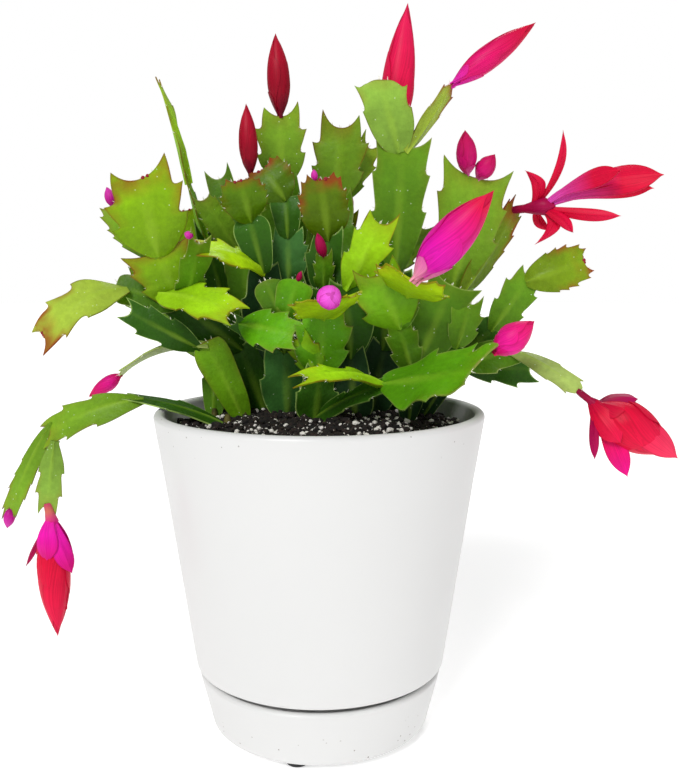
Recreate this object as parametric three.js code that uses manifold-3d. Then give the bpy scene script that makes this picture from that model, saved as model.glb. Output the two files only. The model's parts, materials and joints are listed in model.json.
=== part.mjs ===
// Potted christmas cactus in a white pot on a saucer.
// Millimetres, +Z up, +Y away from the front, origin on the floor at the pot's axis.

import * as THREE from 'three';
import { mergeVertices } from 'three/addons/utils/BufferGeometryUtils.js';
import Module from 'manifold-3d';

const wasm = await Module();
wasm.setup();

// Driving dimensions of the pot, the saucer and the soil
const GAP = 0.3;
const ROUND_SIDES = 34;

const RUBBER_FOOT_HEIGHT = 2.2;
const RUBBER_FOOT_RADIUS = 4.6;
const RUBBER_FOOT_CIRCLE = 39;
const RUBBER_FOOT_TURN = -102.6;
const RUBBER_FOOT_NAMES = ['foot_front', 'foot_right', 'foot_back', 'foot_left'];

const SAUCER_BOTTOM = RUBBER_FOOT_HEIGHT + GAP;
const SAUCER_TOP = 28.1;
const SAUCER_RIM_RADIUS = 52.6;
const SAUCER_BOTTOM_RADIUS = 47.6;
const SAUCER_EDGE_ROUND = 4.5;
const SAUCER_WALL = 3.5;
const SAUCER_FLOOR = 3.7;

const POT_TOP = 139.6;
const POT_RIM_RADIUS = 70;
const POT_WALL = 4.4;
const POT_WALL_END = 30.4;
const POT_WALL_END_RADIUS = 54.1;
const POT_STEP_ROUND = 2;
const POT_FOOT_RADIUS = 42;
const POT_FLOOR = 4.6;
const DRAIN_RADIUS = 6;

const SOIL_DROP = 8.6;
const SOIL_MOUND = 4.4;
const SOIL_CLOD = 0.7;
const SOIL_RINGS = 4;
const SOIL_SIDES = 20;

// Driving dimensions of the plant
const FOOT_RADIUS = 2.3;
const FOOT_SIDES = 6;
const FOOT_DEPTH = 8;
const FOOT_RISE = 4;
const SUNK = 2.2;
const EDGE_THICKNESS = 0.8;
const NECK_WIDTH = 4.4;
const NECK_THICKNESS = 2.4;
const SEGMENT_CUP = 0.05;
const RIB_THICKNESS = [3, 2.4, 1.9, 1.2];
const SEAT_GAP = 0.9;
const BUD_SIDES = 6;
const PETAL_THICKNESS = 0.8;

// Small seeded draw, the same on every run
function seededDraw(seed) {
  let state = seed;
  return () => {
    state = (state * 16807) % 2147483647;
    return state / 2147483647;
  };
}

// A three.js geometry as a closed solid with shared corners
function closedSolid(geometry) {
  geometry.deleteAttribute('normal');
  geometry.deleteAttribute('uv');
  const merged = mergeVertices(geometry, 1e-4);
  const index = merged.index.array;
  const triangles = [];
  for (let i = 0; i < index.length; i += 3) {
    const corners = [index[i], index[i + 1], index[i + 2]];
    if (new Set(corners).size === 3) triangles.push(...corners);
  }
  return solidOf(merged.attributes.position.array, triangles);
}

function solidOf(positions, triangles) {
  return new wasm.Manifold(new wasm.Mesh({
    numProp: 3,
    vertProperties: new Float32Array(positions),
    triVerts: new Uint32Array(triangles),
  }));
}

function geometryOf(solid) {
  const mesh = solid.getMesh();
  const geometry = new THREE.BufferGeometry();
  geometry.setAttribute('position', new THREE.BufferAttribute(new Float32Array(mesh.vertProperties), 3));
  geometry.setIndex(new THREE.BufferAttribute(new Uint32Array(mesh.triVerts), 1));
  geometry.computeVertexNormals();
  return geometry;
}

function fused(solids) {
  return solids.reduce((whole, next) => whole.add(next));
}

// A profile of [radius, height] points turned round +Z
function turned(profile, sides) {
  const points = profile.map(([radius, height]) => new THREE.Vector2(radius, height));
  const geometry = new THREE.LatheGeometry(points, sides);
  geometry.rotateX(Math.PI / 2);
  return geometry;
}

function arcPoints(centreRadius, centreHeight, radius, fromDegrees, toDegrees, steps) {
  const points = [];
  for (let i = 0; i <= steps; i++) {
    const angle = THREE.MathUtils.degToRad(fromDegrees + ((toDegrees - fromDegrees) * i) / steps);
    points.push([centreRadius + radius * Math.cos(angle), centreHeight + radius * Math.sin(angle)]);
  }
  return points;
}

// Radius of the pot's outer wall at a height
function potRadius(height) {
  const share = (height - POT_WALL_END) / (POT_TOP - POT_WALL_END);
  return POT_WALL_END_RADIUS + share * (POT_RIM_RADIUS - POT_WALL_END_RADIUS);
}

const potFootBottom = SAUCER_BOTTOM + SAUCER_FLOOR + GAP;
const potFloorTop = potFootBottom + POT_FLOOR;
const potStep = POT_WALL_END + POT_WALL;
const wellRadius = POT_FOOT_RADIUS - POT_WALL;

function pot() {
  const lip = POT_WALL / 2;
  const profile = [
    [DRAIN_RADIUS, potFootBottom],
    [POT_FOOT_RADIUS, potFootBottom],
    [POT_FOOT_RADIUS, POT_WALL_END - POT_STEP_ROUND],
    ...arcPoints(POT_WALL_END_RADIUS - POT_STEP_ROUND, POT_WALL_END, POT_STEP_ROUND, -90, 0, 2),
    ...arcPoints(POT_RIM_RADIUS - lip, POT_TOP - lip, lip, 0, 180, 3),
    [potRadius(potStep) - POT_WALL, potStep],
    [wellRadius, potStep],
    [wellRadius, potFloorTop],
    [DRAIN_RADIUS, potFloorTop],
    [DRAIN_RADIUS, potFootBottom],
  ];
  return closedSolid(turned(profile, ROUND_SIDES));
}

function saucer() {
  const round = SAUCER_EDGE_ROUND;
  const lip = SAUCER_WALL / 2;
  const inner = SAUCER_BOTTOM_RADIUS - SAUCER_WALL;
  const profile = [
    [0, SAUCER_BOTTOM],
    ...arcPoints(SAUCER_BOTTOM_RADIUS - round, SAUCER_BOTTOM + round, round, -90, -10, 3),
    ...arcPoints(SAUCER_RIM_RADIUS - lip, SAUCER_TOP - lip, lip, 0, 180, 3),
    [inner, SAUCER_BOTTOM + SAUCER_FLOOR + 2],
    [inner - 1.6, SAUCER_BOTTOM + SAUCER_FLOOR],
    [0, SAUCER_BOTTOM + SAUCER_FLOOR],
  ];
  return closedSolid(turned(profile, ROUND_SIDES));
}

function rubberFoot(index) {
  const angle = THREE.MathUtils.degToRad(RUBBER_FOOT_TURN + index * 90);
  const geometry = new THREE.CylinderGeometry(RUBBER_FOOT_RADIUS, RUBBER_FOOT_RADIUS, RUBBER_FOOT_HEIGHT, 12);
  geometry.rotateX(Math.PI / 2);
  geometry.translate(
    RUBBER_FOOT_CIRCLE * Math.cos(angle),
    RUBBER_FOOT_CIRCLE * Math.sin(angle),
    RUBBER_FOOT_HEIGHT / 2,
  );
  return closedSolid(geometry);
}

// Height of the soil's surface at a distance from the axis, before its clods
const soilEdgeHeight = POT_TOP - SOIL_DROP;
const soilRadius = potRadius(soilEdgeHeight) - POT_WALL - GAP;
function soilHeight(x, y) {
  const share = Math.min(1, Math.hypot(x, y) / soilRadius);
  return soilEdgeHeight + SOIL_MOUND * (1 - share * share);
}

function soil(feet) {
  const draw = seededDraw(11);
  const profile = [
    [0, potFloorTop + GAP],
    [wellRadius - GAP, potFloorTop + GAP],
    [wellRadius - GAP, potStep + GAP],
    [potRadius(potStep + GAP) - POT_WALL - GAP, potStep + GAP],
  ];
  for (let ring = 0; ring <= SOIL_RINGS; ring++) {
    const radius = soilRadius * (1 - ring / SOIL_RINGS);
    profile.push([radius, soilHeight(radius, 0)]);
  }
  const geometry = turned(profile, SOIL_SIDES);
  geometry.deleteAttribute('normal');
  geometry.deleteAttribute('uv');
  const merged = mergeVertices(geometry, 1e-4);
  const position = merged.attributes.position;
  for (let i = 0; i < position.count; i++) {
    const reach = Math.hypot(position.getX(i), position.getY(i));
    const onTop = position.getZ(i) > soilEdgeHeight + 0.01 && reach < soilRadius - 1;
    const lift = (draw() - 0.5) * 2 * SOIL_CLOD;
    if (onTop) position.setZ(i, position.getZ(i) + lift);
  }
  let body = closedSolid(merged);
  for (const [x, y] of feet) {
    const top = soilHeight(x, y) + 4;
    const bottom = soilHeight(x, y) - FOOT_DEPTH - GAP;
    body = body.subtract(upright(x, y, bottom, top, FOOT_RADIUS + GAP));
  }
  return body;
}

function upright(x, y, bottom, top, radius) {
  const geometry = new THREE.CylinderGeometry(radius, radius, top - bottom, FOOT_SIDES);
  geometry.rotateX(Math.PI / 2);
  geometry.translate(x, y, (top + bottom) / 2);
  return closedSolid(geometry);
}

// Direction that a segment's face looks in: azimuth 0 is the front, 90 is +X
function faceDirection(azimuth, elevation) {
  const a = THREE.MathUtils.degToRad(azimuth);
  const e = THREE.MathUtils.degToRad(elevation);
  return new THREE.Vector3(Math.sin(a) * Math.cos(e), -Math.cos(a) * Math.cos(e), Math.sin(e));
}

// Along, across and face directions of a blade from one point to another
function bladeFrame(from, to, face) {
  const length = from.distanceTo(to);
  const along = to.clone().sub(from).normalize();
  const normal = face.clone().addScaledVector(along, -face.dot(along)).normalize();
  const across = along.clone().cross(normal).normalize();
  return { from, length, along, normal, across };
}

// Point of a blade: u runs along it, v across it in half widths, lift is off its mid face
function bladePoint(frame, width, arch, cup, u, v, lift) {
  const bend = arch * 4 * u * (1 - u) + cup * width * v * v;
  return frame.from.clone()
    .addScaledVector(frame.along, frame.length * u)
    .addScaledVector(frame.across, (width / 2) * v)
    .addScaledVector(frame.normal, bend + lift);
}

// Edge of one half of a segment as [along, across]: base, belly, two teeth with their
// notches, the horn and the shallow hollow of the cut-off end
const SEGMENT_EDGE = [
  [0, 0.22], [0.2, 0.66], [0.44, 0.97], [0.5, 0.78], [0.76, 1], [0.82, 0.74], [1.12, 0.68], [1.03, 0.36],
];
const TOOTH_TIPS = [2, 4, 6];
const SEGMENT_RIB = [0.22, 0.5, 0.8, 1];
// Faces of one half as corners: R is a rib point, E an edge point
const HALF_FACES = [
  'R0 E0 E1', 'R0 E1 E3', 'E1 E2 E3', 'R0 E3 R1', 'R1 E3 E5',
  'E3 E4 E5', 'R1 E5 R2', 'R2 E5 E7', 'E5 E6 E7', 'R2 E7 R3',
];
const TOOTHED = { edge: SEGMENT_EDGE, tips: TOOTH_TIPS, faces: HALF_FACES };

// The old segments near the soil, whose teeth have worn down to one a side
const OLD_SEGMENTS = ['low', 'middle', 'upper', 'hidden', 'link', 'branch'];
const WORN = {
  edge: [[0, 0.22], [0.24, 0.8], [0.6, 1], [0.66, 0.8], [1.1, 0.6], [1.03, 0.34]],
  tips: [2, 4],
  faces: ['R0 E0 E1', 'R0 E1 R1', 'R1 E1 E3', 'E1 E2 E3', 'R1 E3 R2', 'R2 E3 E5', 'E3 E4 E5', 'R2 E5 R3'],
};

// One flat toothed segment: lens shaped across, thickest along its rib, with pointed teeth
function segmentSolid(frame, width, arch, outline, draw) {
  const positions = [];
  const triangles = [];
  const number = {};
  const put = (u, v, lift) => {
    const point = bladePoint(frame, width, arch, SEGMENT_CUP, u, v, lift);
    positions.push(point.x, point.y, point.z);
    return positions.length / 3 - 1;
  };
  for (const side of [1, -1]) {
    outline.edge.forEach(([u, v], i) => {
      const along = i === 0 ? u : u + (draw() - 0.5) * 0.05;
      const across = side * (i === 0 ? Math.max(v, NECK_WIDTH / width) : v * (0.94 + 0.12 * draw()));
      const half = (i === 0 ? NECK_THICKNESS : EDGE_THICKNESS) / 2;
      const pointed = outline.tips.includes(i);
      number[`E${i},${side},1`] = put(along, across, pointed ? 0 : half);
      number[`E${i},${side},-1`] = pointed ? number[`E${i},${side},1`] : put(along, across, -half);
    });
  }
  SEGMENT_RIB.forEach((u, i) => {
    for (const face of [1, -1]) number[`R${i},0,${face}`] = put(u, 0, (face * RIB_THICKNESS[i]) / 2);
  });
  const corner = (name, side, face) => number[`${name},${name[0] === 'R' ? 0 : side},${face}`];
  const addFace = (corners, flip) => {
    if (new Set(corners).size < 3) return;
    triangles.push(...(flip ? [corners[0], corners[2], corners[1]] : corners));
  };
  for (const side of [1, -1]) {
    for (const face of [1, -1]) {
      for (const line of outline.faces) {
        addFace(line.split(' ').map((name) => corner(name, side, face)), side * face < 0);
      }
    }
    const rim = [...outline.edge.map((_, i) => `E${i}`), 'R3'];
    for (let i = 0; i + 1 < rim.length; i++) {
      const [a, b] = [corner(rim[i], side, 1), corner(rim[i + 1], side, 1)];
      const [c, d] = [corner(rim[i], side, -1), corner(rim[i + 1], side, -1)];
      addFace([a, d, b], side < 0);
      addFace([a, c, d], side < 0);
    }
  }
  const base = (side, face) => corner('E0', side, face);
  addFace([corner('R0', 1, 1), base(-1, 1), base(1, 1)], false);
  addFace([corner('R0', 1, -1), base(-1, -1), base(1, -1)], true);
  addFace([base(1, 1), base(-1, 1), base(-1, -1)], false);
  addFace([base(1, 1), base(-1, -1), base(1, -1)], false);
  return solidOf(positions, triangles);
}

// The leafy stems. Each has its foot on the soil as [x, y], then its segments in growing
// order: [name, grows from, tip x, y, z, width, face azimuth, face elevation, arch, side].
// Arch is how far the middle stands out towards the face, and side is where on its
// parent's end a segment starts, from -1 to 1 of half its width.
const STEMS = {
  stem_trailing_left: {
    foot: [-39, -5],
    segments: [
      ['low', 'foot', -77, 0, 143.5, 9, 0, 75, 1.5],
      ['broad', 'low', -115, 0, 129, 17, 0, 40, 4],
      ['outer', 'broad', -137, 0, 94, 10, -35, 25, 3, -0.5],
      ['inner', 'broad', -117, -4, 98, 12, 10, 5, 1, 0.5],
    ],
  },
  stem_lower_left: {
    foot: [-34, 14],
    segments: [
      ['thick', 'foot', -50, 8, 165, 19, 10, 5, 0],
      ['dark', 'thick', -84, 0, 181, 17, -5, 10, 1],
      ['arching', 'thick', -89, 16, 152, 14, 0, 84, 5],
    ],
  },
  stem_upper_left: {
    foot: [-25, 26],
    segments: [
      ['low', 'foot', -36, 20, 165, 15, 10, 0, 0],
      ['hidden', 'low', -62, 14, 184, 17, 0, 10, 0],
      ['bottom', 'hidden', -69, 6, 206, 25, 0, 10, 1],
      ['big', 'bottom', -74, 0, 236, 31, -5, 5, 1],
      ['behind', 'bottom', -89, 13, 226, 19, -15, 0, 0],
      ['folded', 'hidden', -45, -10, 209, 15, 25, 10, 1],
      ['arm', 'hidden', -90, 12, 191, 12, 0, 20, 1],
      ['drooping', 'arm', -116, 4, 171, 19, -10, 45, 5],
      ['forward', 'hidden', -31, -12, 185, 15, 5, 35, 2],
    ],
  },
  stem_slim_left: {
    foot: [-39, 30],
    segments: [
      ['low', 'foot', -43, 34, 171, 13, 0, 0, 0],
      ['middle', 'low', -53, 33, 214, 13, 40, 0, 0],
      ['slim', 'middle', -60, 32, 239, 12, 80, 0, 0],
      ['top', 'slim', -70, 28, 278, 14, 82, 0, 1],
    ],
  },
  stem_left_back: {
    foot: [-26, 38],
    segments: [
      ['low', 'foot', -32, 41, 176, 14, 0, 0, 0],
      ['middle', 'low', -37, 38, 207, 16, 0, 0, 0],
      ['left', 'middle', -51, 21, 229, 13, -10, 20, 1],
      ['right', 'middle', -47, 42, 240, 16, 0, 0, 0],
    ],
  },
  stem_centre_left: {
    foot: [-14, 26],
    segments: [
      ['low', 'foot', -27, 18, 170, 15, 0, 0, 0],
      ['middle', 'low', -24, 10, 199, 16, 0, 5, 0],
      ['round', 'middle', -30, 8, 221, 15, 0, 0, 1],
      ['tinted', 'round', -33, 0, 235, 20, 0, 35, 1],
      ['yellow', 'middle', -46, 0, 206, 12, 0, 55, 2],
    ],
  },
  stem_centre_back: {
    foot: [-2, 27],
    segments: [
      ['low', 'foot', -13, 26, 171, 14, 0, 0, 0],
      ['middle', 'low', -14, 20, 194, 17, 0, 0, 0],
      ['pale', 'middle', -14, 16, 214, 17, 0, 5, 1],
      ['round', 'pale', -15, 18, 230, 13, 0, 0, 1],
      ['tinted', 'round', -25, 20, 242, 21, 0, 10, 1],
    ],
  },
  stem_tall_left: {
    foot: [-9, 40],
    segments: [
      ['low', 'foot', -13, 40, 170, 14, 0, 0, 0],
      ['middle', 'low', -15, 40, 205, 18, 0, 0, 0],
      ['upper', 'middle', -18, 38, 238, 18, 0, 0, 0],
      ['top', 'upper', -18, 35, 267, 21, 5, 0, 1],
    ],
  },
  stem_tall_back: {
    foot: [6, 38],
    segments: [
      ['low', 'foot', 1, 48, 170, 15, 0, 0, 0],
      ['middle', 'low', 4, 50, 202, 18, 0, 0, 0],
      ['upper', 'middle', 7, 50, 231, 18, 0, 0, 0],
      ['left_top', 'upper', 9, 48, 264, 24, 0, 0, 1],
      ['right_top', 'upper', 22, 55, 256, 14, 20, 0, 0],
    ],
  },
  stem_tinted_middle: {
    foot: [4, 15],
    segments: [
      ['low', 'foot', 1, 14, 164, 15, 0, 0, 0],
      ['middle', 'low', 2, 8, 190, 15, 0, 0, 0],
      ['upper', 'middle', 4, 3, 213, 16, 0, 0, 0],
      ['tinted', 'upper', 1, -6, 235, 21, 0, 10, 1],
      ['small', 'middle', 2, -3, 204, 9, 0, 15, 0],
    ],
  },
  stem_yellow_middle: {
    foot: [16, 5],
    segments: [
      ['low', 'foot', 13, 3, 163, 14, 0, 0, 0],
      ['middle', 'low', 11, -4, 192, 15, 0, 0, 0],
      ['bright', 'middle', 25, -10, 217, 17, 20, 10, 1],
    ],
  },
  stem_tall_centre: {
    foot: [22, 20],
    segments: [
      ['low', 'foot', 29, 20, 165, 15, 0, 0, 0],
      ['middle', 'low', 35, 14, 198, 18, 0, 0, 0],
      ['upright', 'middle', 35, 9, 247, 24, 0, 3, 0],
      ['top', 'upright', 28, 5, 276, 23, -5, 0, 1],
      ['slim', 'upright', 57, 12, 276, 14, 70, 10, 0, -0.4],
    ],
  },
  stem_tall_right: {
    foot: [34, 27],
    segments: [
      ['low', 'foot', 45, 28, 165, 16, 0, 0, 0],
      ['middle', 'low', 60, 24, 190, 18, 0, 0, 0],
      ['broad', 'middle', 68, 17, 238, 30, -5, 0, 1],
      ['side', 'middle', 86, 26, 225, 15, 55, 0, 1],
    ],
  },
  stem_right_dark: {
    foot: [38, 3],
    segments: [
      ['low', 'foot', 40, 1, 157, 12, 0, 0, 0],
      ['broad', 'low', 56, 1, 192, 24, 0, 0, 1],
      ['branch', 'low', 60, 0, 166, 10, 0, 50, 0],
      ['side', 'branch', 71, 1, 184, 14, 0, 0, 0],
      ['inner', 'low', 33, -8, 176, 13, -10, 10, 0],
      ['left', 'inner', 24, -16, 196, 24, -10, 10, 1],
      ['link', 'inner', 37, -12, 187, 10, 0, 20, 0],
      ['end_on', 'link', 37, -36, 194, 30, 90, 72, 0],
    ],
  },
  stem_front_centre: {
    foot: [-3, -1],
    segments: [
      ['lying', 'foot', 28, -18, 152, 12, 10, 50, 2],
      ['bright', 'lying', 69, -34, 167, 21, 10, 30, 2],
      ['curved', 'lying', -4, -28, 156, 13, 0, 72, 3],
      ['low', 'foot', 0, -2, 155, 16, 0, 0, 0],
      ['wedge', 'low', 2, -10, 181, 22, 0, 5, 1],
      ['end_on', 'wedge', 4, -34, 187, 29, -90, 80, 0],
      ['small', 'low', -8, -8, 170, 13, -20, 10, 0],
    ],
  },
  stem_low_centre: {
    foot: [-15, 14],
    segments: [
      ['low', 'foot', -15, 10, 159, 17, -10, 5, 1],
      ['bright', 'low', -24, -6, 181, 21, -5, 20, 1],
      ['middle', 'low', -15, 5, 178, 15, 0, 0, 0],
      ['round_left', 'middle', -23, 3, 194, 13, 0, 0, 1],
      ['round_right', 'middle', -9, 1, 196, 14, 0, 0, 1],
    ],
  },
  stem_right_outer: {
    foot: [48, 22],
    segments: [
      ['low', 'foot', 64, 18, 163, 12, 0, 10, 0],
      ['middle', 'low', 77, 16, 173, 14, 0, 0, 0],
      ['lower', 'middle', 91, 14, 195, 15, 0, 0, 1],
      ['end', 'lower', 114, 10, 202, 19, 0, 5, 1],
    ],
  },
  stem_right_low: {
    foot: [50, 9],
    segments: [
      ['low', 'foot', 63, 8, 156, 12, 0, 20, 0],
      ['dark', 'low', 92, 12, 155, 15, 0, 10, 1],
      ['hidden', 'low', 84, -3, 164, 11, 0, 20, 0],
      ['hanging', 'hidden', 107, -22, 147, 10, 20, 35, 2],
    ],
  },
  stem_back_left: {
    foot: [-36, 45],
    segments: [
      ['low', 'foot', -46, 46, 168, 13, 190, 0, 0],
      ['leaf', 'low', -57, 48, 196, 20, 190, 5, 1],
      ['top', 'leaf', -64, 46, 226, 23, 195, 5, 1],
    ],
  },
  stem_back_centre_left: {
    foot: [-18, 52],
    segments: [
      ['low', 'foot', -22, 55, 168, 14, 180, 0, 0],
      ['leaf', 'low', -28, 58, 198, 21, 180, 5, 1],
      ['top', 'leaf', -25, 56, 230, 22, 175, 0, 1],
      ['side', 'leaf', -45, 62, 219, 17, 195, 10, 1],
    ],
  },
  stem_back_centre: {
    foot: [3, 53],
    segments: [
      ['low', 'foot', 5, 60, 168, 14, 180, 0, 0],
      ['leaf', 'low', 3, 62, 199, 20, 180, 5, 1],
      ['top', 'leaf', -5, 62, 231, 21, 180, 5, 1],
      ['side', 'leaf', 18, 62, 226, 18, 165, 5, 1],
    ],
  },
  stem_back_right: {
    foot: [22, 44],
    segments: [
      ['low', 'foot', 28, 48, 168, 13, 170, 0, 0],
      ['leaf', 'low', 33, 52, 197, 20, 170, 5, 1],
      ['top', 'leaf', 36, 48, 229, 22, 170, 5, 1],
      ['side', 'leaf', 49, 58, 218, 17, 150, 5, 1],
    ],
  },
  stem_back_far_right: {
    foot: [40, 39],
    segments: [
      ['low', 'foot', 54, 42, 163, 12, 160, 5, 0],
      ['leaf', 'low', 66, 42, 190, 18, 160, 5, 1],
      ['top', 'leaf', 70, 38, 222, 20, 165, 5, 1],
    ],
  },
  stem_back_hanging: {
    foot: [-27, 47],
    segments: [
      ['low', 'foot', -50, 60, 164, 11, 190, 20, 1],
      ['end', 'low', -40, 65, 158, 8, 180, 45, 0],
    ],
  },
  stem_left_low: {
    foot: [-48, 20],
    segments: [
      ['low', 'foot', -62, 30, 158, 12, 190, 30, 0],
      ['leaf', 'low', -76, 36, 173, 16, 190, 20, 1],
      ['top', 'leaf', -88, 34, 192, 17, 190, 5, 1],
    ],
  },
};

// Closed buds: [stem, segment, tip x, y, z, greatest radius, side]
const BUDS = {
  bud_tall_left: ['stem_tall_left', 'top', -20, 35, 303, 4.8, 0],
  bud_dark_left: ['stem_centre_back', 'tinted', -32, 20, 270, 4.1, -0.55],
  bud_tall_centre: ['stem_tall_centre', 'top', 37, -6, 305, 6.2, 0.15],
  bud_leaning: ['stem_tall_centre', 'slim', 91, 12, 301.5, 4.8, 0],
  bud_pair_left: ['stem_tall_right', 'broad', 61, 5, 256.5, 4.3, -0.28],
  bud_pair_right: ['stem_tall_right', 'broad', 75, 12, 247.5, 4, 0.05],
  bud_front: ['stem_right_dark', 'end_on', 65, -47, 227, 7.4, 0],
  bud_ball: ['stem_front_centre', 'end_on', 5, -42, 189, 4.9, 0],
  bud_right: ['stem_front_centre', 'bright', 82, -43, 176, 5.6, 0],
  bud_arching: ['stem_lower_left', 'arching', -104, 18, 142, 4, 0],
  bud_trailing: ['stem_trailing_left', 'outer', -139, 0, 87, 1.4, 0],
  bud_upper_left: ['stem_upper_left', 'behind', -92, 14, 234, 2.2, 0],
  bud_folded: ['stem_upper_left', 'folded', -54, -15, 213, 1.4, -0.6],
  bud_small: ['stem_tinted_middle', 'small', -2, -9, 212, 2, 0],
  bud_round: ['stem_low_centre', 'round_right', -8, 0, 202, 2, 0],
  bud_tinted: ['stem_tinted_middle', 'tinted', -2, -8, 241, 1.7, -0.25],
  bud_back_left: ['stem_back_centre_left', 'side', -53, 65, 234, 3.6, 0],
  bud_back_centre: ['stem_back_centre', 'side', 25, 64, 240, 3.6, 0],
};

// Blooms: the stem and segment that each grows from, its tube's end, and its petals as
// [tip x, y, z, width, start along the tube, bow]
const BLOOMS = {
  bloom_open: {
    on: ['stem_tall_right', 'side'],
    tube: [103, 18, 226],
    radius: [1.8, 3.6],
    petals: [
      [141, -4, 237, 15, 1, 3], [138, -2, 229, 14, 1, -3], [134, 3, 239, 13, 0.9, 4],
      [107, 16, 257, 7, 0.7, 2], [127, 4, 221, 8, 0.8, 2], [91, 14, 241, 7, 0.6, 5],
      [108, 8, 215, 7, 0.8, 3], [99, 20, 211, 7, 0.7, 3],
    ],
  },
  bloom_hanging_right: {
    on: ['stem_right_low', 'hanging'],
    tube: [116, -25, 141],
    radius: [1.4, 4],
    petals: [
      [141, -30, 125, 16, 1, 4], [137, -36, 130, 15, 0.9, -4], [133, -22, 124, 15, 0.9, 4],
      [127, -27, 147, 14, 0.8, 4], [122, -30, 116, 12, 0.8, 3], [109, -32, 124, 7, 0.6, 3],
    ],
  },
  bloom_hanging_left: {
    on: ['stem_trailing_left', 'inner'],
    tube: [-115, -4, 86],
    radius: [1.8, 4.4],
    petals: [
      [-115, -4, 39, 13, 1, 3], [-112, -1, 48, 12, 1, -2], [-118, -8, 50, 12, 0.9, 3],
      [-106, -6, 68, 10, 0.7, 4], [-127, -3, 72, 9, 0.7, 4], [-112, -12, 70, 9, 0.7, 4],
    ],
  },
  bloom_back: {
    on: ['stem_back_hanging', 'end'],
    tube: [-32, 67, 154],
    radius: [1.2, 3.2],
    petals: [
      [-5, 67, 152, 11, 1, 1], [-8, 65, 148, 9, 1, -1], [-9, 66, 157, 9, 0.9, 1],
      [-20, 67, 145, 6, 0.8, 1], [-24, 66, 165, 7, 0.6, 1],
    ],
  },
};

const LEAF_GREEN = { color: 0x5f9a22, roughness: 0.45, metalness: 0 };
const BUD_PINK = { color: 0xcc1f52, roughness: 0.45, metalness: 0 };
const PETAL_RED = { color: 0xe0244a, roughness: 0.45, metalness: 0 };
const GLAZE_WHITE = { color: 0xf2f2f0, roughness: 0.35, metalness: 0 };
const SOIL_DARK = { color: 0x2a211c, roughness: 0.95, metalness: 0 };
const RUBBER_BLACK = { color: 0x151515, roughness: 0.7, metalness: 0 };

// A stem's solid, with the place and directions of every segment's end
function leafyStem(name, seed) {
  const { foot, segments } = STEMS[name];
  const draw = seededDraw(seed);
  const [x, y] = foot;
  const ground = soilHeight(x, y);
  const start = new THREE.Vector3(x, y, ground + FOOT_RISE);
  const up = new THREE.Vector3(0, 0, 1);
  const ends = { foot: { tip: start, along: up, across: new THREE.Vector3(1, 0, 0), width: 0, length: 0 } };
  const pieces = [upright(x, y, ground - FOOT_DEPTH, start.z, FOOT_RADIUS)];
  for (const [part, parent, tipX, tipY, tipZ, width, azimuth, elevation, arch, side = 0] of segments) {
    const base = ends[parent];
    const from = base.tip.clone()
      .addScaledVector(base.along, -SUNK)
      .addScaledVector(base.across, (side * base.width) / 2);
    const tip = new THREE.Vector3(tipX, tipY, tipZ);
    const frame = bladeFrame(from, tip, faceDirection(azimuth, elevation));
    const outline = OLD_SEGMENTS.includes(part) ? WORN : TOOTHED;
    pieces.push(segmentSolid(frame, width, arch, outline, draw));
    const endAlong = frame.along.clone().addScaledVector(frame.normal, (-4 * arch) / frame.length).normalize();
    ends[part] = { tip, along: endAlong, across: frame.across, width, length: frame.length };
  }
  return { solid: fused(pieces), ends };
}

// Turns a solid made along +Z so that it points from one place to another
function aimed(geometry, from, to) {
  const direction = to.clone().sub(from).normalize();
  const turn = new THREE.Quaternion().setFromUnitVectors(new THREE.Vector3(0, 0, 1), direction);
  geometry.applyQuaternion(turn);
  geometry.translate(from.x, from.y, from.z);
  return geometry;
}

// How far a segment's end stands out beyond its middle, as a share of its length
function endReach(share) {
  return share < 0.36 ? share / 12 : 0.03 + (share - 0.36) * 0.28;
}

// Closed bud: a spindle whose furled petals show as low spiral ridges
const BUD_PROFILE = [
  [0, 0], [0.2, 0.01], [0.4, 0.1], [0.84, 0.26], [1, 0.45], [0.88, 0.66], [0.52, 0.87], [0, 1],
];
const SMALL_BUD_PROFILE = [[0, 0], [0.5, 0.01], [1, 0.4], [0.7, 0.8], [0, 1]];
const SMALL_BUD_RADIUS = 3;
function bud(end, tip, radius, side) {
  const start = end.tip.clone()
    .addScaledVector(end.across, (side * end.width) / 2)
    .addScaledVector(end.along, end.length * endReach(Math.abs(side)));
  const direction = tip.clone().sub(start).normalize();
  const from = start.addScaledVector(direction, SEAT_GAP);
  const length = from.distanceTo(tip);
  const profile = radius > SMALL_BUD_RADIUS ? BUD_PROFILE : SMALL_BUD_PROFILE;
  const geometry = turned(profile.map(([r, z]) => [r * radius, z * length]), BUD_SIDES);
  const position = geometry.attributes.position;
  for (let i = 0; i < position.count; i++) {
    const angle = Math.atan2(position.getY(i), position.getX(i));
    const share = position.getZ(i) / length;
    const ridge = 1 + 0.08 * Math.sin(4 * angle + 5 * share);
    position.setX(i, position.getX(i) * ridge);
    position.setY(i, position.getY(i) * ridge);
  }
  return closedSolid(aimed(geometry, from, tip));
}

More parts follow.
